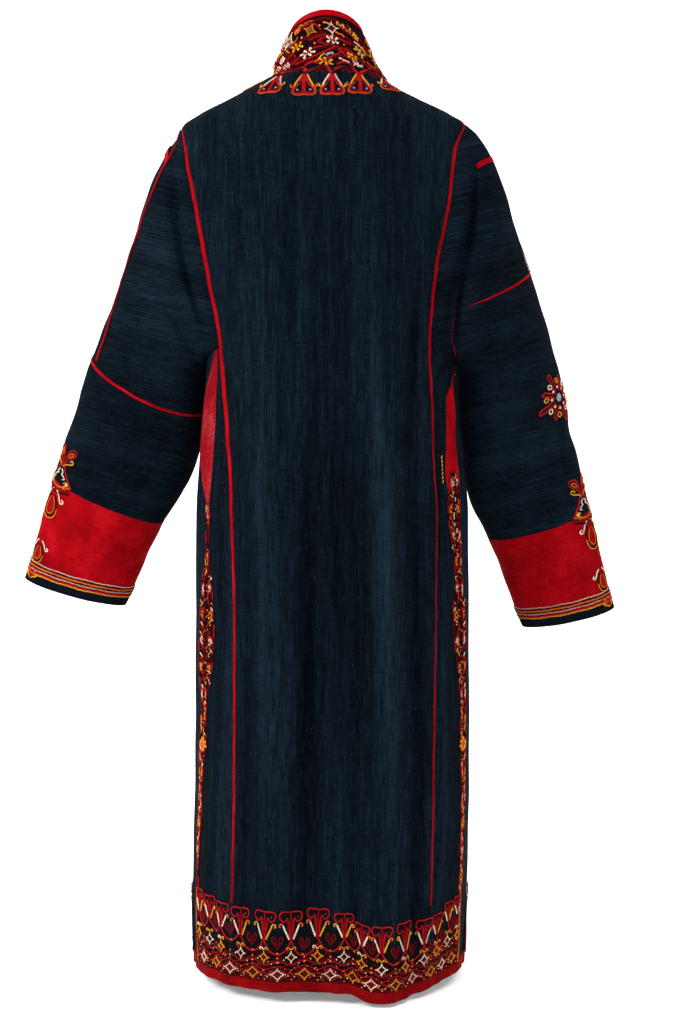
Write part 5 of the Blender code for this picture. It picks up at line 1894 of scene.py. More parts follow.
class Embroidery:
    """Lines and rounds of stitches on one patch, gathered into one piece."""

    base = 0.0001
    crown = 0.0010
    ground = 0.0006
    sides = 6
    layer = 0.00004
    layers = 7

    def __init__(self, patch: Patch, finishes: Finishes) -> None:
        """Start with nothing stitched.

        Args:
            patch: cloth that it is laid on.
            finishes: the coat's materials.
        """
        self.patch = patch
        self.finishes = finishes
        self.kept: list[tuple[Array, Array, Array, Array]] = []
        self.order: list[Material] = []
        self.count = 0

    def _keep(self, flat: Array, rise: Array, faces: Array, uvs: Array, material: Material) -> None:
        """Keep a batch of stitches.

        Args:
            flat: places on the patch.
            rise: how far they stand out.
            faces: faces between them.
            uvs: a UV for each corner of the faces.
            material: their finish.
        """
        if material not in self.order:
            self.order.append(material)
        rise = np.broadcast_to(rise, flat.shape[:-1]).reshape(-1, 1)
        slots = np.full(len(faces), self.order.index(material), np.int32)
        places = np.concatenate((flat.reshape(-1, 2), rise), axis=1)
        self.kept.append((places, faces + self.count, uvs, slots))
        self.count += len(rise)

    def lines(self, thread: Thread, width: float, paths: Array, lift: float = 0.0) -> None:
        """Stitch a batch of lines that have the same number of points.

        Formula: each line is a low ridge, three points across, whose middle stands up from the cloth.

        Args:
            thread: colour.
            width: width of the line in metres.
            paths: array of lines by points by (s, t), in metres.
            lift: how far above the cloth the ridge starts.
        """
        tangent = unit(np.gradient(paths, axis=1))
        across = np.stack((-tangent[..., 1], tangent[..., 0]), axis=-1) * width / 2
        ridge = np.stack((paths + across, paths, paths - across), axis=2)
        rise = np.array([0.0, self.crown, 0.0]) + self.base + lift
        count, length = paths.shape[:2]
        index = np.arange(count * length * 3).reshape(count, length, 3)
        index = np.concatenate((index, index[..., :1]), axis=2)
        steps = np.linalg.norm(np.diff(paths, axis=1), axis=-1)
        way = np.concatenate((np.zeros((count, 1)), np.cumsum(steps, axis=1)), axis=1)
        mark = np.stack(np.broadcast_arrays(way[..., None], np.array([-1.0, 0.0, 1.0, -1.0])), axis=-1)
        ends = np.concatenate((index[:, 0, [2, 1, 0, 0]], index[:, -1, [0, 1, 2, 2]]))
        faces = np.concatenate((grid_faces(index), ends))
        uvs = np.concatenate((grid_marks(mark), np.zeros((len(ends), 4, 2))))
        self._keep(ridge, rise, faces, uvs, self.finishes.threads[thread])

    def rounds(self, thread: Thread, radius: float, middles: Array, lift: float = 0.0) -> None:
        """Stitch a batch of small rounds: low cones on the cloth.

        Args:
            thread: colour.
            radius: radius in metres.
            middles: array of rounds by (s, t), in metres.
            lift: how far above the cloth they start.
        """
        near = np.arange(self.sides)
        turn = 2 * np.pi * near / self.sides
        edge = middles[:, None] + radius * np.stack((np.cos(turn), np.sin(turn)), axis=-1)
        every = np.concatenate((edge, middles[:, None]), axis=1)
        rise = np.full(self.sides + 1, self.base + lift)
        rise[-1] += self.crown
        start = np.arange(len(middles))[:, None] * (self.sides + 1)
        top = np.full(self.sides, self.sides)
        side = np.stack((near, (near + 1) % self.sides, top, top), axis=-1)
        cone = (start[..., None] + side).reshape(-1, 4)
        foot = start + near[::-1]
        faces = np.concatenate((cone, foot[:, :4], foot[:, [0, 3, 4, 5]]))
        self._keep(every, rise, faces, np.zeros((len(faces), 4, 2)), self.finishes.threads[thread])

    def stitch(
        self, motif: Motif, at: Array | Point, turn: float = 0.0, size: float = 1.0, lift: float = 0.0
    ) -> None:
        """Stitch a motif at one place or several.

        Args:
            motif: strokes and dots in millimetres.
            at: places as rows of (s, t), in millimetres.
            turn: radians by which it is turned.
            size: how many times its drawn size it is made.
            lift: how far above the cloth its stitches start.
        """
        at = np.atleast_2d(np.asarray(at, float))
        cosine, sine = np.cos(turn), np.sin(turn)
        spin = np.array([[cosine, sine], [-sine, cosine]]) * size
        for number, part in enumerate(motif):
            above = lift + self.layer * (number % self.layers)
            if isinstance(part, Stroke):
                self.lines(part.thread, part.width * MM, (part.line @ spin + at[:, None]) * MM, above)
            else:
                middles = (np.array(part.middle) @ spin + at) * MM
                self.rounds(part.thread, part.radius * size * MM, middles, above + self.base)

    def cover(
        self, s: Array, low: Array, high: Array, count: int, material: Material, lift: float = 0.0
    ) -> None:
        """Cover a band of the cloth with dense ground stitches.

        Args:
            s: places along the band, in metres.
            low: lower edge at each place.
            high: upper edge at each place.
            count: rows of faces.
            material: finish of the ground.
            lift: how far above the cloth it starts.
        """
        t = low + (high - low) * np.linspace(0.0, 1.0, count + 1)[:, None]
        mark = np.stack((np.broadcast_to(s, t.shape), t), axis=-1)
        flat = np.stack((mark, mark))
        upper, lower = index = np.arange(flat[..., 0].size).reshape(flat.shape[:3])
        marks = grid_marks(mark)
        sides = [(grid_faces(upper), marks), (grid_faces(lower)[:, ::-1], marks[:, ::-1])]
        sides.append(rim(upper[0, ::-1], lower[0, ::-1], mark[0, ::-1]))
        sides.append(rim(upper[-1], lower[-1], mark[-1]))
        sides.append(rim(upper[:, 0], lower[:, 0], mark[:, 0]))
        sides.append(rim(upper[::-1, -1], lower[::-1, -1], mark[::-1, -1]))
        faces, uvs = (np.concatenate(part) for part in zip(*sides))
        rise = np.array([self.ground, self.base])[:, None, None] + lift
        self._keep(flat, rise, faces, uvs, material)

    def build(self, name: str) -> None:
        """Join everything stitched into one piece, and turn its faces outwards.

        Args:
            name: name of the piece.
        """
        flat, faces, uvs, slots = (np.concatenate(part) for part in zip(*self.kept))
        points, out = self.patch.place(flat[:, 0], flat[:, 1])
        points = points + out * flat[:, 2:]
        corner, out = self.patch.place(np.array([0.0, 0.001, 0.0]), np.array([0.02, 0.02, 0.021]))
        if np.cross(corner[1] - corner[0], corner[2] - corner[0]) @ out[0] > 0:
            faces, uvs = faces[:, ::-1], uvs[:, ::-1]
        double = faces == np.roll(faces, 1, axis=1)
        three = double.any(axis=1)
        kept = np.sort(np.argsort(double[three], axis=1, kind="stable")[:, :3], axis=1)
        triangles = np.take_along_axis(faces[three], kept, axis=1)
        triangle_uvs = np.take_along_axis(uvs[three], kept[..., None], axis=1)
        mesh = fill_mesh(name, points, [faces[~three], triangles], [uvs[~three], triangle_uvs])
        mesh.polygons.foreach_set("material_index", np.concatenate((slots[~three], slots[three])))
        mesh.set_sharp_from_angle(angle=np.radians(70))
        add_piece(name, mesh, (), "embroidered_cloth", *self.order)


# The back hem's tulips: millimetres from the middle, and how far the cloth rises there
BACK_FEET = Table(
    "place rise",
    (-205.0, 14.3), (-177.0, 12.0), (-150.0, 6.4), (-118.0, 0.4), (-83.0, -0.8), (-48.0, -0.6), (-14.0, 4.0),
    (20.0, 4.4), (45.0, 1.4), (70.0, -3.8), (107.0, -6.6), (142.0, -6.4), (167.0, -0.6), (191.0, 9.4),
    (213.0, 13.0),
)
# The lattice's waving bands: level, reach, thread and width
LATTICE_BANDS = (
    (25.6, -3.0, CRIMSON, 1.5),
    (23.2, -2.8, RED, 1.7),
    (20.8, -2.4, BLACK, 1.8),
    (18.8, 2.4, CRIMSON, 1.5),
    (17.0, -2.6, RED, 1.6),
    (15.0, -3.0, BLACK, 1.5),
    (13.2, -3.8, CRIMSON, 1.6),
    (10.8, -5.2, RED, 1.5),
    (6.2, 4.6, RED, 1.5),
    (3.2, 3.2, BLACK, 1.5),
    (1.2, 1.8, CRIMSON, 1.5),
)
# Its scattered dots: thread, fraction that places them and radius
LATTICE_SEEDS = ((YELLOW, 0.618, 0.75), (ORANGE, 0.414, 0.85), (CREAM, 0.732, 0.65))
SEED_STEP = 3.1
# Its dots in rows, between the feet and then on them: place, level, thread and radius
MIDDLE_DOTS = (
    (0.0, 30.2, ORANGE, 1.4), (0.0, 24.6, YELLOW, 1.3), (-7.0, 22.4, CREAM, 0.9), (8.0, 27.6, CREAM, 0.9),
)
FOOT_DOTS = (
    (0.0, 13.6, ORANGE, 1.2), (-4.0, 7.0, YELLOW, 1.3), (4.6, 5.4, CREAM, 1.0), (0.6, 2.2, YELLOW, 1.1),
)


@dataclass(frozen=True)
class BandDesign:
    """The repeating band of tulips over a diamond lattice, along an edge; its sizes are millimetres."""

    pitch: float = 34.5
    foot: float = 52.0
    least_size: float = 0.62
    ground_rows: int = 12

    def even_feet(self, start: float, end: float) -> Array:
        """Return evenly spaced feet between two places, each half a pitch from the ends or a little more."""
        count = max(2, int((end - start) / self.pitch))
        return start + (end - start) * (np.arange(count) + 0.5) / count

    def stitch(self, work: Embroidery, feet: Array, rise: Array | float = 0.0) -> None:
        """Stitch the band over its feet.

        Args:
            work: embroidery that the band goes into.
            feet: s of each tulip's foot in millimetres.
            rise: how far the band is lifted at each foot.
        """
        rise = np.broadcast_to(rise, feet.shape)
        self._lattice(work, feet, rise)
        self._diamonds(work, feet, rise)
        size = np.clip(np.gradient(feet) / self.pitch, self.least_size, 1.0)
        turn = 0.03 * np.sin(2.7 * np.arange(len(feet)))
        level = self.foot + rise
        pairs = ((CREAM, YELLOW, ORANGE), (CREAM, CREAM, ORANGE), (CREAM, YELLOW, YELLOW))
        for i, foot in enumerate(feet):
            for motif in (tulip(), hooks(*pairs[(i * 2) % 3])):
                work.stitch(motif, (foot, level[i]), turn[i], size[i], 0.0012)
            if i + 1 < len(feet):
                pitch = feet[i + 1] - foot
                slant = np.arctan2(level[i + 1] - level[i], pitch)
                work.stitch(pod(pitch), (foot, level[i]), -slant, lift=0.0013)

    def _lattice(self, work: Embroidery, feet: Array, rise: Array) -> None:
        """Stitch the ground, its waving bands and the dots scattered over it.

        Formula: each band is a level plus its reach times a cosine that peaks over every foot.

        Args:
            work: embroidery that the lattice goes into.
            feet: s of each tulip's foot in millimetres.
            rise: how far the band is lifted at each foot.
        """
        start, end = 1.5 * feet[0] - 0.5 * feet[1], 1.5 * feet[-1] - 0.5 * feet[-2]
        along = np.linspace(start, end, int((end - start) / 3.0))
        number = np.concatenate(([-0.5], np.arange(len(feet)), [len(feet) - 0.5]))
        wave = np.cos(2 * np.pi * np.interp(along, np.concatenate(([start], feet, [end])), number))
        lift = np.interp(along, feet, rise)
        top = 34.5 + 14.0 * ((1 + wave) / 2) ** 1.6 + lift
        low, high = (top - 16.0) * MM, (66.0 + 6.0 * wave + lift) * MM
        work.cover(along * MM, low, high, self.ground_rows, work.finishes.dark, 0.0006)
        foot = np.full_like(along, -2.2) * MM
        work.cover(along * MM, foot, top * MM, self.ground_rows, work.finishes.ground, 0.0008)
        for level, reach, thread, width in LATTICE_BANDS:
            path = np.stack((along, level + reach * wave + lift * level / self.foot), axis=-1)
            work.lines(thread, width * MM, path[None] * MM, 0.0010)
        seeds = np.arange(int((end - start) / SEED_STEP))
        for thread, share, radius in LATTICE_SEEDS:
            place = start + SEED_STEP * (seeds + (seeds * share * 2.3) % 1.0)
            height = 2.0 + 25.0 * ((seeds * share) % 1.0)
            kept = (seeds + int(10 * share)) % 2 == 0
            raised = height + np.interp(place, feet, rise) * height / self.foot
            work.rounds(thread, radius * MM, np.stack((place, raised), -1)[kept] * MM, 0.0011)

    def _diamonds(self, work: Embroidery, feet: Array, rise: Array) -> None:
        """Stitch two rows of diamonds and the dots between them.

        Args:
            work: embroidery that they go into.
            feet: s of each tulip's foot in millimetres.
            rise: how far the band is lifted at each foot.
        """
        middles = (feet[1:] + feet[:-1]) / 2
        low = np.interp(middles, feet, rise)
        rings = ((YELLOW, RED, PURPLE), (CREAM, CRIMSON, BLACK))
        for odd, (edge, inner, heart) in enumerate(rings):
            other = rings[1 - odd][0]
            upper = np.stack((feet, 30.5 + 0.6 * rise), -1)[odd::2]
            work.stitch(diamond(5.6, 5.8, edge, inner, heart), upper, lift=0.0012)
            work.stitch(crown(other, YELLOW), upper + (0.0, 9.4), lift=0.0012)
            lower = np.stack((middles, 9.0 + 0.2 * low), -1)[odd::2]
            work.stitch(diamond(8.2, 6.4, other, inner, RED), lower, lift=0.0012)
        for base, dots in ((middles, MIDDLE_DOTS), (feet, FOOT_DOTS)):
            for aside, height, thread, radius in dots:
                lifted = height + np.interp(base, feet, rise) * height / self.foot
                work.rounds(thread, radius * MM, np.stack((base + aside, lifted), -1) * MM, 0.0013)


# ---------------------------------------------------------------- the coat


@dataclass
class Body:
    """The coat's body: back, fronts, gores, gussets, red strips and bindings."""

    form: BodyForm
    finishes: Finishes
    cuts: Cuts
    step: float = CLOTH_STEP
    back_step: float = 0.85
    hem_step: float = 0.6
    reach: float = 0.175
    least_gore: float = 0.02

    def heights(self, low: float, high: float) -> Array:
        """Return rows of heights from low to high, closer where the shoulders slope.

        Args:
            low: the lowest row.
            high: the highest row.

        Returns:
            The heights.
        """
        count = max(2, int(np.ceil((min(high, SLOPE_START) - low) / self.step))) if low < SLOPE_START else 0
        straight = np.linspace(low, min(high, SLOPE_START), count + 1) if count else np.array([low])
        if high <= SLOPE_START:
            return straight
        start = max(low, SLOPE_START)
        slope = start + (high - start) * np.linspace(0.0, 1.0, int(np.ceil((high - start) / SLOPE_STEP)) + 1)
        return np.concatenate((straight[:-1], slope)) if count else slope

    def panel(
        self, name: str, heights: Array, start: Array, end: Array, material: Material, step: float = 1.0
    ) -> None:
        """Make one piece of the body between two lines of signed angles, and keep its cut.

        Args:
            name: name of the solid that it replaces.
            heights: height of each row.
            start: angle at the start of each row.
            end: angle at the end of each row.
            material: its finish.
            step: how many times the usual spacing its points have.
        """
        slot = "red_silk" if "gusset" in name else "indigo_silk"
        made, grid = self._between(name, heights, start, end, material, slot, 0.0, step)
        self.cuts.keep(name, made, grid)

    def trim(
        self, name: str, heights: Array, start: Array, end: Array, material: Material, step: float = 1.0
    ) -> None:
        """Make one red trim of the body, from the same values as a panel; it stands a little proud."""
        self._between(name, heights, start, end, material, "red_silk", PROUD, step)

    def _between(
        self,
        name: str,
        heights: Array,
        start: Array,
        end: Array,
        material: Material,
        slot: str,
        proud: float,
        step: float,
    ) -> tuple[Piece, ClothGrid]:
        """Make cloth between two lines of signed angles.

        Args:
            name: name of the solid that it replaces.
            heights: height of each row.
            start: angle at the start of each row.
            end: angle at the end of each row.
            material: its finish.
            slot: material slot of the record.
            proud: how far its outer face stands out.
            step: how many times the usual spacing its points have.

        Returns:
            The piece and its grid.
        """
        count = max(2, int(np.ceil(np.abs(end - start).max() * self.reach / (self.step * step))))
        angle = start[:, None] + (end - start)[:, None] * np.linspace(0.0, 1.0, count + 1)[None, :]
        height = np.broadcast_to(heights[:, None], angle.shape)
        points = drawn_in(self.form.point(angle, height))
        straight = points[..., 0] if "panel" in name else None
        grid = ClothGrid(points, self.form.normal(angle, height), across=straight)
        made = add_piece(f"{name}_cloth", grid.shell(name, proud), (name,), slot, material)
        # Painted shade: each point keeps the creases' rise, which darkens the silk in troughs and pales it on
        # ridges.
        wear_and_shade = np.tile(self.form.painted_crease_shade(angle, height).ravel(), 2)
        painted_crease_shade = made.data.attributes.new("painted_crease_shade", "FLOAT", "POINT")
        painted_crease_shade.data.foreach_set("value", wear_and_shade.astype(np.float32))
        return made, grid

    def build(self) -> None:
        """Make every piece of the body."""
        form, red, indigo = self.form, self.finishes.red, self.finishes.indigo
        heights = self.heights(HEM_TOP, NECK)
        left, right = (form.strip_edge(side, "back", -1.0, heights) for side in Side)
        self.panel("back_panel", heights, -right, left, indigo, self.back_step)
        for side in Side:
            turned, word = side.sign, side.value
            outer = form.strip_edge(side, "front", -1.0, heights)
            inner = form.front_edge(heights, FRONT_BINDING_WIDTH)
            self.panel(f"front_panel_{word}", heights, turned * outer, turned * inner, indigo)
            edge = form.front_edge(heights)
            self.trim(f"front_binding_{word}", heights, turned * inner, turned * edge, red)
            strip_heights = self.heights(HEM_TOP, TIP[side])
            for which in ("back", "front"):
                near, far = (form.strip_edge(side, which, way, strip_heights) for way in (-1.0, 1.0))
                self.trim(f"seam_strip_{which}_{word}", strip_heights, turned * near, turned * far, red)
            self._under_arm(side)
        heights = np.linspace(HEM, HEM_TOP, 5)
        edge = form.front_edge(heights)
        self.trim("hem_binding", heights, -edge, edge, self.finishes.hem, self.hem_step)

    def _under_arm(self, side: Side) -> None:
        """Make the gusset and the two gores of one side.

        Args:
            side: side of the coat.
        """
        form, turned, word, indigo = self.form, side.sign, side.value, self.finishes.indigo
        silk = self.finishes.gusset if side is Side.LEFT else self.finishes.red
        heights = self.heights(GUSSET_FOOT, UNDERARM)
        back, front = form.gusset_edges(side, heights)
        self.panel(f"gusset_{word}", heights, turned * back, turned * front, silk)
        heights = np.concatenate((self.heights(HEM_TOP, GUSSET_FOOT)[:-1], heights))
        back, front = form.gusset_edges(side, heights)
        strip = form.strip_edge(side, "back", 1.0, heights)
        self.panel(f"gore_back_{word}", heights, turned * strip, turned * back, indigo)
        start = np.where(heights < GUSSET_FOOT - 1e-6, back, front)
        end = np.maximum(form.strip_edge(side, "front", 1.0, heights), start + self.least_gore)
        self.panel(f"gore_front_{word}", heights, turned * start, turned * end, indigo)


@dataclass
class Sleeve:
    """One sleeve: upper part, cross piping, lower part, red cuff, dark edge, overarm piping and short bar."""

    form: SleeveForm
    finishes: Finishes
    cuts: Cuts
    step: float = CLOTH_STEP
    around: int = 97

    def part(
        self, name: str, start: Curve, end: Curve, material: Material, slot: str, trim: bool = False
    ) -> None:
        """Make the part of the sleeve between two lines round it.

        Args:
            name: name of the solid that it replaces, without its side.
            start: share of the arm at its upper edge, by the turn.
            end: share of the arm at its lower edge, by the turn.
            material: its finish.
            slot: material slot of the record.
            trim: whether it is a trim, which stands proud and has no cut of its own.
        """
        form = self.form
        turn = np.linspace(0, 2 * np.pi, self.around)
        first, last = start(turn), end(turn)
        count = max(2, int(np.ceil((last - first).max() * form.length() / self.step)))
        share = first + (last - first) * np.linspace(0.0, 1.0, count + 1)[:, None]
        turns = np.broadcast_to(turn, share.shape)
        points, out = form.point(turns, share), form.normal(turns, share)
        if name == "sleeve_upper":
            points[0] += unit(points[1] - points[0]) * SEAM_GAP
            turned_in = points[0] - unit(points[1] - points[0]) * ALLOWANCE - out[0] * (WALL + PROUD)
            points, out = np.concatenate((turned_in[None], points)), np.concatenate((out[:1], out))
        down_arm = unit(np.array([form.side.sign * ARM_SLANT, 0.0, -1.0]))
        grid = ClothGrid(drawn_in(points, tube=True), out, tube=True, along=points @ down_arm)
        full = f"{name}_{form.side.value}"
        made = add_piece(f"{full}_cloth", grid.shell(full, PROUD if trim else 0.0), (full,), slot, material)
        if not trim:
            self.cuts.keep(full, made, grid)

    def build(self) -> None:
        """Make every piece of the sleeve, from the shoulder down."""
        form, side, looks = self.form, self.form.side, self.finishes
        dark_from = 1.0 - CUFF_EDGE_WIDTH / form.length()

        def half(turn: Array) -> Array:
            """Return half the piping's width as a share of the arm; a crease tucks the right one away."""
            away = np.abs(np.pi - np.abs(np.pi - turn) - TUCKED_TURN) / TUCKED_SPREAD
            tucked = np.exp(-(away**4)) if side is Side.RIGHT else 0.0 * turn
            return PIPING_WIDTH / 2 / form.length() * (1 - TUCKED_SHARE * tucked)

        def above(turn: Array) -> Array:
            """Return the piping's upper edge."""
            return form.cross(turn) - half(turn)

        def below(turn: Array) -> Array:
            """Return the piping's lower edge."""
            return form.cross(turn) + half(turn)

        top, cuff_top, dark_top, end = (
            lambda turn, at=at: np.full_like(turn, at) for at in (0.0, CUFF_START[side], dark_from, 1.0)
        )
        self.part("sleeve_upper", top, above, looks.indigo_sleeve, "indigo_silk")
        self.part("sleeve_piping", above, below, looks.red, "red_silk", trim=True)
        self.part("sleeve_lower", below, cuff_top, looks.indigo_sleeve, "indigo_silk")
        self.part("cuff", cuff_top, dark_top, looks.cuff, "red_silk")
        self.part("cuff_edge", dark_top, end, looks.dark_edge, "dark_edge", trim=True)
        self._overarm()
        self._bar()

    def _strip(self, name: str, turn: Array, share: Array) -> None:
        """Lay a narrow strip of red silk on the sleeve."""
        out = self.form.normal(turn, share)
        lay_strip(name, self.form.point(turn, share), out, self.finishes.red)

    def _overarm(self) -> None:
        """Make the thin piping down the overarm to the cross seam."""
        form = self.form
        share = np.linspace(0.004, form.cross(np.zeros(1))[0] - 0.006, 90)[:, None]
        at = np.linspace(-1.0, 1.0, 3)[None, :] * OVERARM_PIPING_WIDTH / 2
        across = form.point(TURN_STEP, share) - form.point(-TURN_STEP, share)
        wide = np.linalg.norm(across, axis=-1) / (2 * TURN_STEP)
        line = np.radians(OVERARM_LINE.read("turn", share)) if form.side is Side.LEFT else 0.0
        turn = line + at / np.maximum(wide, 0.02)
        self._strip(f"overarm_piping_{form.side.value}", turn, share + 0 * turn)

    def _bar(self) -> None:
        """Make the short red bar across the sleeve's cap."""
        side = self.form.side
        bar = BARS[side]
        half = bar.width / 2 / self.form.length()
        share = np.linspace(bar.share, bar.end_share, 13)[None, :] + np.linspace(-half, half, 3)[:, None]
        turn = np.radians(np.linspace(bar.turn, bar.end_turn, 13))[None, :] + 0 * share
        self._strip(f"shoulder_bar_{side.value}", turn, share)


def lay_strip(name: str, points: Array, out: Array, material: Material) -> None:
    """Lay a narrow strip of silk on the cloth.

    Args:
        name: name of the solid that it replaces.
        points: points of the cloth under it.
        out: directions straight out of the cloth.
        material: its finish.
    """
    grid = ClothGrid(points + out * (PIPING_LIFT + TRIM_WALL), out)
    add_piece(f"{name}_silk", grid.shell(name, 0.0, TRIM_WALL), (name,), "red_silk", material)


@dataclass
class Collar:
    """The standing collar and the red binding along its top."""

    form: CollarForm
    edge: float
    finishes: Finishes
    cuts: Cuts
    foot: float = -0.006

    def build(self) -> None:
        """Make the collar and its binding."""
        made, grid = self._ring("collar", (self.foot, COLLAR_BINDING_SHARE), 14, self.finishes.collar)
        self.cuts.keep("collar", made, grid, "stretched")
        self._ring("collar_binding", (COLLAR_BINDING_SHARE, 1.0), 4, self.finishes.red)

    def _ring(self, name: str, span: Point, count: int, material: Material) -> tuple[Piece, ClothGrid]:
        """Make the part of the collar between two shares of its height.

        Args:
            name: name of the solid that it replaces.
            span: the shares.
            count: rows of faces.
            material: its finish.

        Returns:
            The piece and its grid.
        """
        slot, proud = ("embroidered_cloth", 0.0) if name == "collar" else ("red_silk", PROUD)
        share = np.linspace(*span, count + 1)[:, None]
        share, angle = np.broadcast_arrays(share, np.linspace(-self.edge, self.edge, 121)[None, :])
        level_out = unit(self.form.normal(angle, share) * (1.0, 1.0, 0.0))
        grid = ClothGrid(drawn_in(self.form.point(angle, share)), level_out)
        return add_piece(f"{name}_cloth", grid.shell(name, proud, COLLAR_WALL), (name,), slot, material), grid


@dataclass
class Shoulders:
    """The thin pipings over the two shoulder seams."""

    form: BodyForm
    finishes: Finishes

    def build(self) -> None:
        """Lay a narrow strip on each shoulder, from the neck to its tip."""
        for side in Side:
            height = np.linspace(TIP[side] + 0.0002, NECK - 0.0012, 60)[:, None]
            ridge = np.full(height.shape, side.sign * np.pi / 2)
            across = np.linspace(1.0, -1.0, 3)[:, None] * np.array([0.0, SHOULDER_PIPING_WIDTH / 2, 0.0])
            points = self.form.point(ridge, height) + across
            out = np.broadcast_to(self.form.normal(ridge, height), points.shape)
            lay_strip(f"shoulder_piping_{side.value}", points, out, self.finishes.red)


@dataclass
class Stitchwork:
    """All the embroidery and the loose stitches of the coat."""

    body: BodyForm
    sleeves: dict[Side, SleeveForm]
    collar: CollarForm
    finishes: Finishes
    band: BandDesign = BandDesign()
    band_height: float = 0.12
    band_middle: float = 0.045

    def build(self) -> None:
        """Stitch every band and motif."""
        self._hem_back()
        self._neck()
        self._collar()
        for side in Side:
            self._hem_front(side)
            self._front(side)
            self._side_seam(side)
            self._cuff(side)
            self._overarm(side)
        self._gusset_stitches()

    def _hem_patch(self, along: Point, centre: float) -> Patch:
        """Measure the cloth over the hem between two angles."""
        up = (HEM_TOP - 0.003, HEM_TOP + self.band_height)
        return Patch(self.body, along, up, HEM_TOP + self.band_middle, centre)

    def _hem_back(self) -> None:
        """Stitch the band over the hem of the back, from one side seam to the other."""
        ends = [self.body.seam(side, "gusset_back", np.array([HEM_TOP]))[0] for side in Side]
        patch = self._hem_patch((ends[0] + 0.02, -ends[1] - 0.02), 0.0)
        work = Embroidery(patch, self.finishes)
        feet = BACK_FEET.columns["place"]
        for side in Side:
            seam = self.body.seam(side, "back", np.array([HEM_TOP + 0.05]))[0] * side.sign
            at = np.interp(-seam, -patch.a, patch.s) + np.linspace(-4.0, 4.0, 5) * MM
            low, high = (np.full(5, level) * MM for level in (26.0, 92.0))
            work.cover(at, low, high, self.band.ground_rows, self.finishes.indigo, 0.0009)
        self.band.stitch(work, feet, BACK_FEET.columns["rise"])
        height = np.arange(1.0, 98.0, 2.5)
        bend = 0.8 * np.sin(height / 7.0) + 0.5 * np.sin(height / 2.9)
        for s, way in ((feet[0] - 12.0, 1.0), (feet[-1] + 8.0, -1.0)):
            orange, yellow, crimson = (
                np.stack((s + way * (aside + bend), height), -1) * MM for aside in (0.0, 2.0, 3.8)
            )
            work.lines(ORANGE, 0.0016, orange[None], 0.0012)
            work.lines(YELLOW, 0.0013, yellow[:-1].reshape(-1, 2, 2), 0.0012)
            work.lines(CRIMSON, 0.0013, crimson[None], 0.0012)
        work.build("hem_embroidery_back")

    def _hem_front(self, side: Side) -> None:
        """Stitch the band over the hem of one front, short of the side seam.

        Args:
            side: side of the coat.
        """
        low = np.array([HEM_TOP])
        start = side.sign * (self.body.seam(side, "gusset_back", low)[0] + np.radians(16.5))
        end = side.sign * self.body.front_edge(low, FRONT_BINDING_WIDTH + 0.058)[0]
        patch = self._hem_patch((end, start) if side is Side.LEFT else (start, end), start)
        work = Embroidery(patch, self.finishes)
        self.band.stitch(work, self.band.even_feet(*(patch.s[[0, -1]] / MM)))
        work.build(f"hem_embroidery_front_{side.value}")

    def _front(self, side: Side) -> None:
        """Stitch the band up one open edge, with its tulips pointing away from it.

        Args:
            side: side of the coat.
        """

        def line(height: Array) -> Array:
            """Return the edge of the front binding."""
            return side.sign * self.body.front_edge(height, FRONT_BINDING_WIDTH)

        patch = LinePatch(self.body, line, (HEM_TOP, -0.06), -side.sign)
        work = Embroidery(TurnedPatch(patch), self.finishes)
        self.band.stitch(work, self.band.even_feet(6.0, 1010.0))
        work.build(f"front_embroidery_{side.value}")

    def _neck(self) -> None:
        """Stitch the bells that hang below the collar seam, and the arches between them."""
        for number, ray in enumerate(NECK_RAYS):
            patch = LinePatch(self.body, ray.line, (ray.foot_height, ray.head_height - 0.02), -1.0)
            work = Embroidery(patch, self.finishes)
            work.stitch(bell(), (0.0, 0.0), size=0.98)
            colours = ((CREAM, PINK, YELLOW), (YELLOW, YELLOW, ORANGE))[number % 2]
            work.stitch(hooks(*colours, 1.16), (0.0, 0.0), lift=0.0003)
            work.build(f"neck_tulip_{number + 1}")
        ends = self.body.front_edge(np.array([NECK]), 0.012)[0]
        patch = Patch(self.body, (-ends, ends), (NECK, -0.08), NECK - 0.006, 0.0)
        work = Embroidery(patch, self.finishes)
        angles = np.radians([ray.foot_angle for ray in NECK_RAYS])
        feet = np.stack((np.interp(angles, patch.a, patch.s) / MM, [ray.drop for ray in NECK_RAYS]), axis=1)
        for near, far in zip(feet[:-1], feet[1:]):
            pitch, drop_by = far - near
            work.stitch(arch(pitch, 12.0), near, -np.arctan2(drop_by, pitch), lift=0.0002)
        work.build("neck_arches")

    def _collar(self) -> None:
        """Stitch the collar's slanting leaves, with flowers and diamonds inside and between them."""
        edge = float(self.body.front_edge(np.array([NECK]))[0]) - 0.04
        patch = Patch(self.collar, (edge, -edge), (0.0, COLLAR_BINDING_SHARE), 0.35, 0.0)
        work = Embroidery(patch, self.finishes)
        start, end = patch.s[[0, -1]] / MM
        for shift, way in COLLAR_REPEATS:
            for spot in COLLAR_SPOTS:
                s = shift + way * spot.place
                if start + 9.0 < s < end - 9.0 and (shift == 0.0 or abs(spot.place) < 58.0):
                    motif = spot.motif if way > 0 else mirrored(spot.motif)
                    work.stitch(motif, (s, spot.level), way * spot.turn, lift=spot.lift * MM)
        work.build("collar_embroidery")

    def _side_seam(self, side: Side) -> None:
        """Stitch the border down the side seam, from the gusset's foot to the hem band.

        Args:
            side: side of the coat.
        """

        def line(height: Array) -> Array:
            """Return the middle of the gusset, and below it the side seam."""
            return side.sign * np.mean(self.body.gusset_edges(side, height), axis=0)

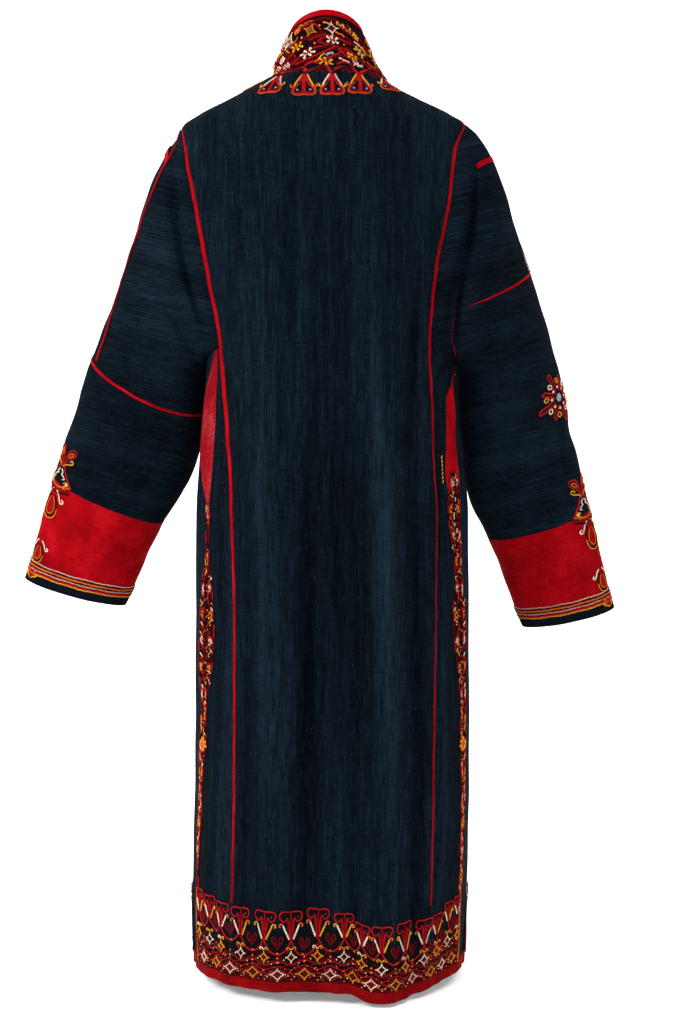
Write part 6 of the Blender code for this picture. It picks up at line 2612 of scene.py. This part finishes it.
        patch = LinePatch(self.body, line, (HEM_TOP, SIDE_TOP[side]), side.sign)
        work, ground = Embroidery(patch, self.finishes), Embroidery(TurnedPatch(patch), self.finishes)
        top = patch.t[-1] / MM - 2.0
        t = np.linspace(SIDE_LOW, top, 190)
        half = SIDE_WIDTHS[side].read("half", t) + 0.9 * np.abs(np.sin(np.pi * t / 13.0))
        ground.cover(t * MM, -half * MM, half * MM, 6, self.finishes.ground)
        for way in (-1.0, 1.0):
            edge = np.stack((way * half, t), axis=-1)[:-1].reshape(-1, 9, 2)
            work.lines(CRIMSON, 0.0012, edge[way < 0 :: 2] * MM, 0.0007)
            work.lines(RED, 0.0014, edge[way > 0 :: 2, :7] * MM, 0.0007)
        levels = np.arange(SIDE_LOW + SIDE_PITCH / 2, top, SIDE_PITCH)
        widths = SIDE_WIDTHS[side].read("half", levels) / 12.0
        for number, (level, width) in enumerate(zip(levels, widths)):
            if width > 0.26:
                work.stitch(moved(side_bits(number), (width, 1.0)), (0.0, level), lift=0.0006)
        cross = floret(YELLOW, ORANGE, 9.0) + floret(ORANGE, YELLOW, 6.0)
        for lean in (0.6, 2.1):
            work.stitch(cross, (-3.0, np.interp(CROSSED_FLORETS, patch.b, patch.t) / MM), lean, lift=0.0014)
        work.build(f"side_embroidery_{side.value}")
        ground.build(f"side_ground_{side.value}")

    def _cuff(self, side: Side) -> None:
        """Stitch the lines round the cuff above its dark edge, and tack it.

        Args:
            side: side of the coat.
        """
        form = self.sleeves[side]
        patch = Patch(form, (-side.sign * np.pi, side.sign * np.pi), (1.0, 0.30), 0.85, 0.0)
        work = Embroidery(patch, self.finishes)
        round_it = np.linspace(*patch.s[[0, -1]], 150)
        for low, width, thread in CUFF_LINES:
            wander = 0.35 * np.sin(round_it * 160.0 + low) + 0.25 * np.sin(round_it * 610.0 + 2 * low)
            t = CUFF_EDGE_WIDTH + (low + wander) * MM
            work.lines(thread, width * MM, np.stack((round_it, t), -1)[None], 0.0004)
        self._tacking(work, side, (1.0 - CUFF_START[side]) * form.length() / MM)
        work.build(f"cuff_embroidery_{side.value}")

    def _tacking(self, work: Embroidery, side: Side, cuff_top: float) -> None:
        """Tack the cuff with short uneven stitches of grey and maroon thread.

        Args:
            work: embroidery that they go into.
            side: side of the coat.
            cuff_top: millimetres up the sleeve to the cuff's top.
        """
        place = np.arange(7)
        s = -side.sign * (22.0 + 11.0 * place + 2.6 * np.sin(5.0 * place))
        t = cuff_top * 0.50 + 1.6 * np.sin(2.2 * place) - (1.6 if side is Side.LEFT else 0.9) * place
        reach = 2.2 + 1.3 * np.cos(3.0 * place)
        ends = flat_rows((s - reach, t), (s, t + 0.4), (s + reach, t - 0.3)) * MM
        work.lines(GREY, 0.0016, ends[::2], 0.0004)
        work.lines(MAROON, 0.0014, ends[1::2], 0.0004)

    def _overarm(self, side: Side) -> None:
        """Stitch the motifs along the overarm, and the rosette of the right sleeve.

        Args:
            side: side of the coat.
        """
        form, turn = self.sleeves[side], OVERARM_TURN[side]
        patch = LinePatch(form, lambda share: np.full_like(share, turn), (0.999, 0.30), side.sign)
        work = Embroidery(patch, self.finishes)
        shares = np.array((CUFF_START[side], ROSETTE_SHARE))
        top, rosette_at = np.interp(-shares, -patch.b, patch.t) / MM
        for motif, level, size in (
            (sprig(), top + 26.0, 1.35),
            (gable(), top + 4.0, 1.35),
            (drop(), top - 32.0, 1.35),
            (drop(), 44.0, 1.05),
            (sprig(), 6.0, 0.72),
        ):
            work.stitch(motif, (0.0, level), 0.0, size, 0.0006)
        if side is Side.RIGHT:
            work.stitch(rosette(), (-6.0, rosette_at + 3.0), 0.2, 1.3, 0.0003)
        work.build(f"sleeve_embroidery_{side.value}")

    def _gusset_stitches(self) -> None:
        """Run a few loose yellow stitches beside the right gusset."""
        patch = LinePatch(self.body, lambda height: np.radians(-52.0) + 0.0 * height, (-0.52, -0.44), -1.0)
        work = Embroidery(patch, self.finishes)
        number = np.arange(7)
        s, t = 0.25 * number, 16.0 + 5.2 * number
        work.lines(YELLOW, 0.0011, flat_rows((s - 0.6, t - 1.8), (s, t), (s + 0.6, t + 1.8)) * MM)
        work.build("gusset_stitches")


# ---------------------------------------------------------------- studio


@dataclass(frozen=True)
class Lamp:
    """One soft rectangular light."""

    name: str
    place: Colour
    aim: Colour
    size: Point
    power: float

    def build(self) -> None:
        """Hang the light and point it at its aim."""
        data = bpy.data.lights.new(self.name, "AREA")
        data.shape = "RECTANGLE"
        data.size, data.size_y = self.size
        data.energy = self.power
        lamp = bpy.data.objects.new(self.name, data)
        lamp.location = self.place
        lamp.rotation_euler = (Vector(self.aim) - Vector(self.place)).to_track_quat("-Z", "Y").to_euler()
        bpy.context.scene.collection.objects.link(lamp)


@dataclass
class StudioSet:
    """Floor, lights, sky and camera; the lens is measured in pixels of a picture 1020 pixels high."""

    floor_height: float = -1.1560
    floor_depth: Point = (4.5, -1.6)
    curve_radius: float = 1.1
    wall_top: float = 3.2
    half_width: float = 4.6
    sky: float = 0.40
    camera_place: Colour = (-0.011, 2.8, -0.345)
    camera_tilt: float = np.radians(4.1)
    sensor: float = 36.0
    lens: float = 2154.0
    picture: float = 1020.0
    lamps: tuple[Lamp, ...] = (
        Lamp("key_light", (2.7, 2.3, 1.7), (0.0, 0.0, -0.40), (1.3, 1.3), 172.0),
        Lamp("fill_light", (-2.6, 2.9, 0.3), (0.0, 0.0, -0.5), (2.0, 2.0), 30.0),
        Lamp("top_light", (0.2, 1.0, 2.6), (0.0, 0.0, -0.6), (3.0, 3.0), 52.0),
        Lamp("backdrop_light_left", (2.6, -0.7, 2.4), (1.0, -2.4, -0.3), (1.6, 1.6), 95.0),
        Lamp("backdrop_light_right", (-2.6, -0.7, 2.4), (-1.0, -2.4, -0.3), (1.6, 1.6), 95.0),
    )

    def build(self) -> None:
        """Build the studio round the coat."""
        self._floor()
        for lamp in self.lamps:
            lamp.build()
        world = bpy.data.worlds.new("studio_sky")
        world.use_nodes = True
        inputs = world.node_tree.nodes["Background"].inputs
        inputs["Color"].default_value = (1.0, 1.0, 1.0, 1.0)
        inputs["Strength"].default_value = self.sky
        bpy.context.scene.world = world
        bpy.context.scene.view_settings.view_transform = "Standard"
        self._camera()

    def _floor(self) -> None:
        """Sweep one profile sideways: a flat floor, a quarter of a circle and a wall."""
        start, end = self.floor_depth
        quarter = np.linspace(0.0, np.pi / 2, 25)
        y = np.concatenate(([start], end - self.curve_radius * np.sin(quarter), [end - self.curve_radius]))
        wall = self.wall_top - self.floor_height
        z = np.concatenate(([0.0], self.curve_radius * (1 - np.cos(quarter)), [wall]))
        across, along = np.meshgrid(np.linspace(-self.half_width, self.half_width, 9), y)
        up = np.broadcast_to(z[:, None] + self.floor_height, across.shape)
        points = np.stack((across, along, up), axis=-1).reshape(-1, 3)
        faces = grid_faces(np.arange(across.size).reshape(across.shape))[:, ::-1]
        mesh = fill_mesh("studio_floor", points, [faces], [np.zeros((len(faces), 4, 2))])
        mesh.materials.append(Studio().build())
        floor = bpy.data.objects.new("studio_floor", mesh)
        bpy.context.scene.collection.objects.link(floor)

    def _camera(self) -> None:
        """Set the camera behind the coat, a little above its middle and tilted down."""
        data = bpy.data.cameras.new("camera")
        data.sensor_width = self.sensor
        data.lens = self.sensor * self.lens / self.picture
        camera = bpy.data.objects.new("camera", data)
        camera.location = self.camera_place
        camera.rotation_euler = (np.pi / 2 - self.camera_tilt, 0.0, np.pi)
        bpy.context.scene.collection.objects.link(camera)
        bpy.context.scene.camera = camera


def main() -> None:
    """Build the coat and its studio; each piece is reported as it is made."""
    logging.basicConfig(level=logging.INFO, format="%(message)s")
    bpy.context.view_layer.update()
    finishes, cuts = Finishes(), Cuts()
    body, collar = BodyForm(), CollarForm()
    sleeves = {side: SleeveForm(side, body) for side in Side}
    Body(body, finishes, cuts).build()
    for side in Side:
        Sleeve(sleeves[side], finishes, cuts).build()
    Collar(collar, float(body.front_edge(np.array([NECK]))[0]), finishes, cuts).build()
    Shoulders(body, finishes).build()
    Stitchwork(body, sleeves, collar, finishes).build()
    cuts.declare()
    StudioSet().build()


if __name__ == "__main__":
    main()
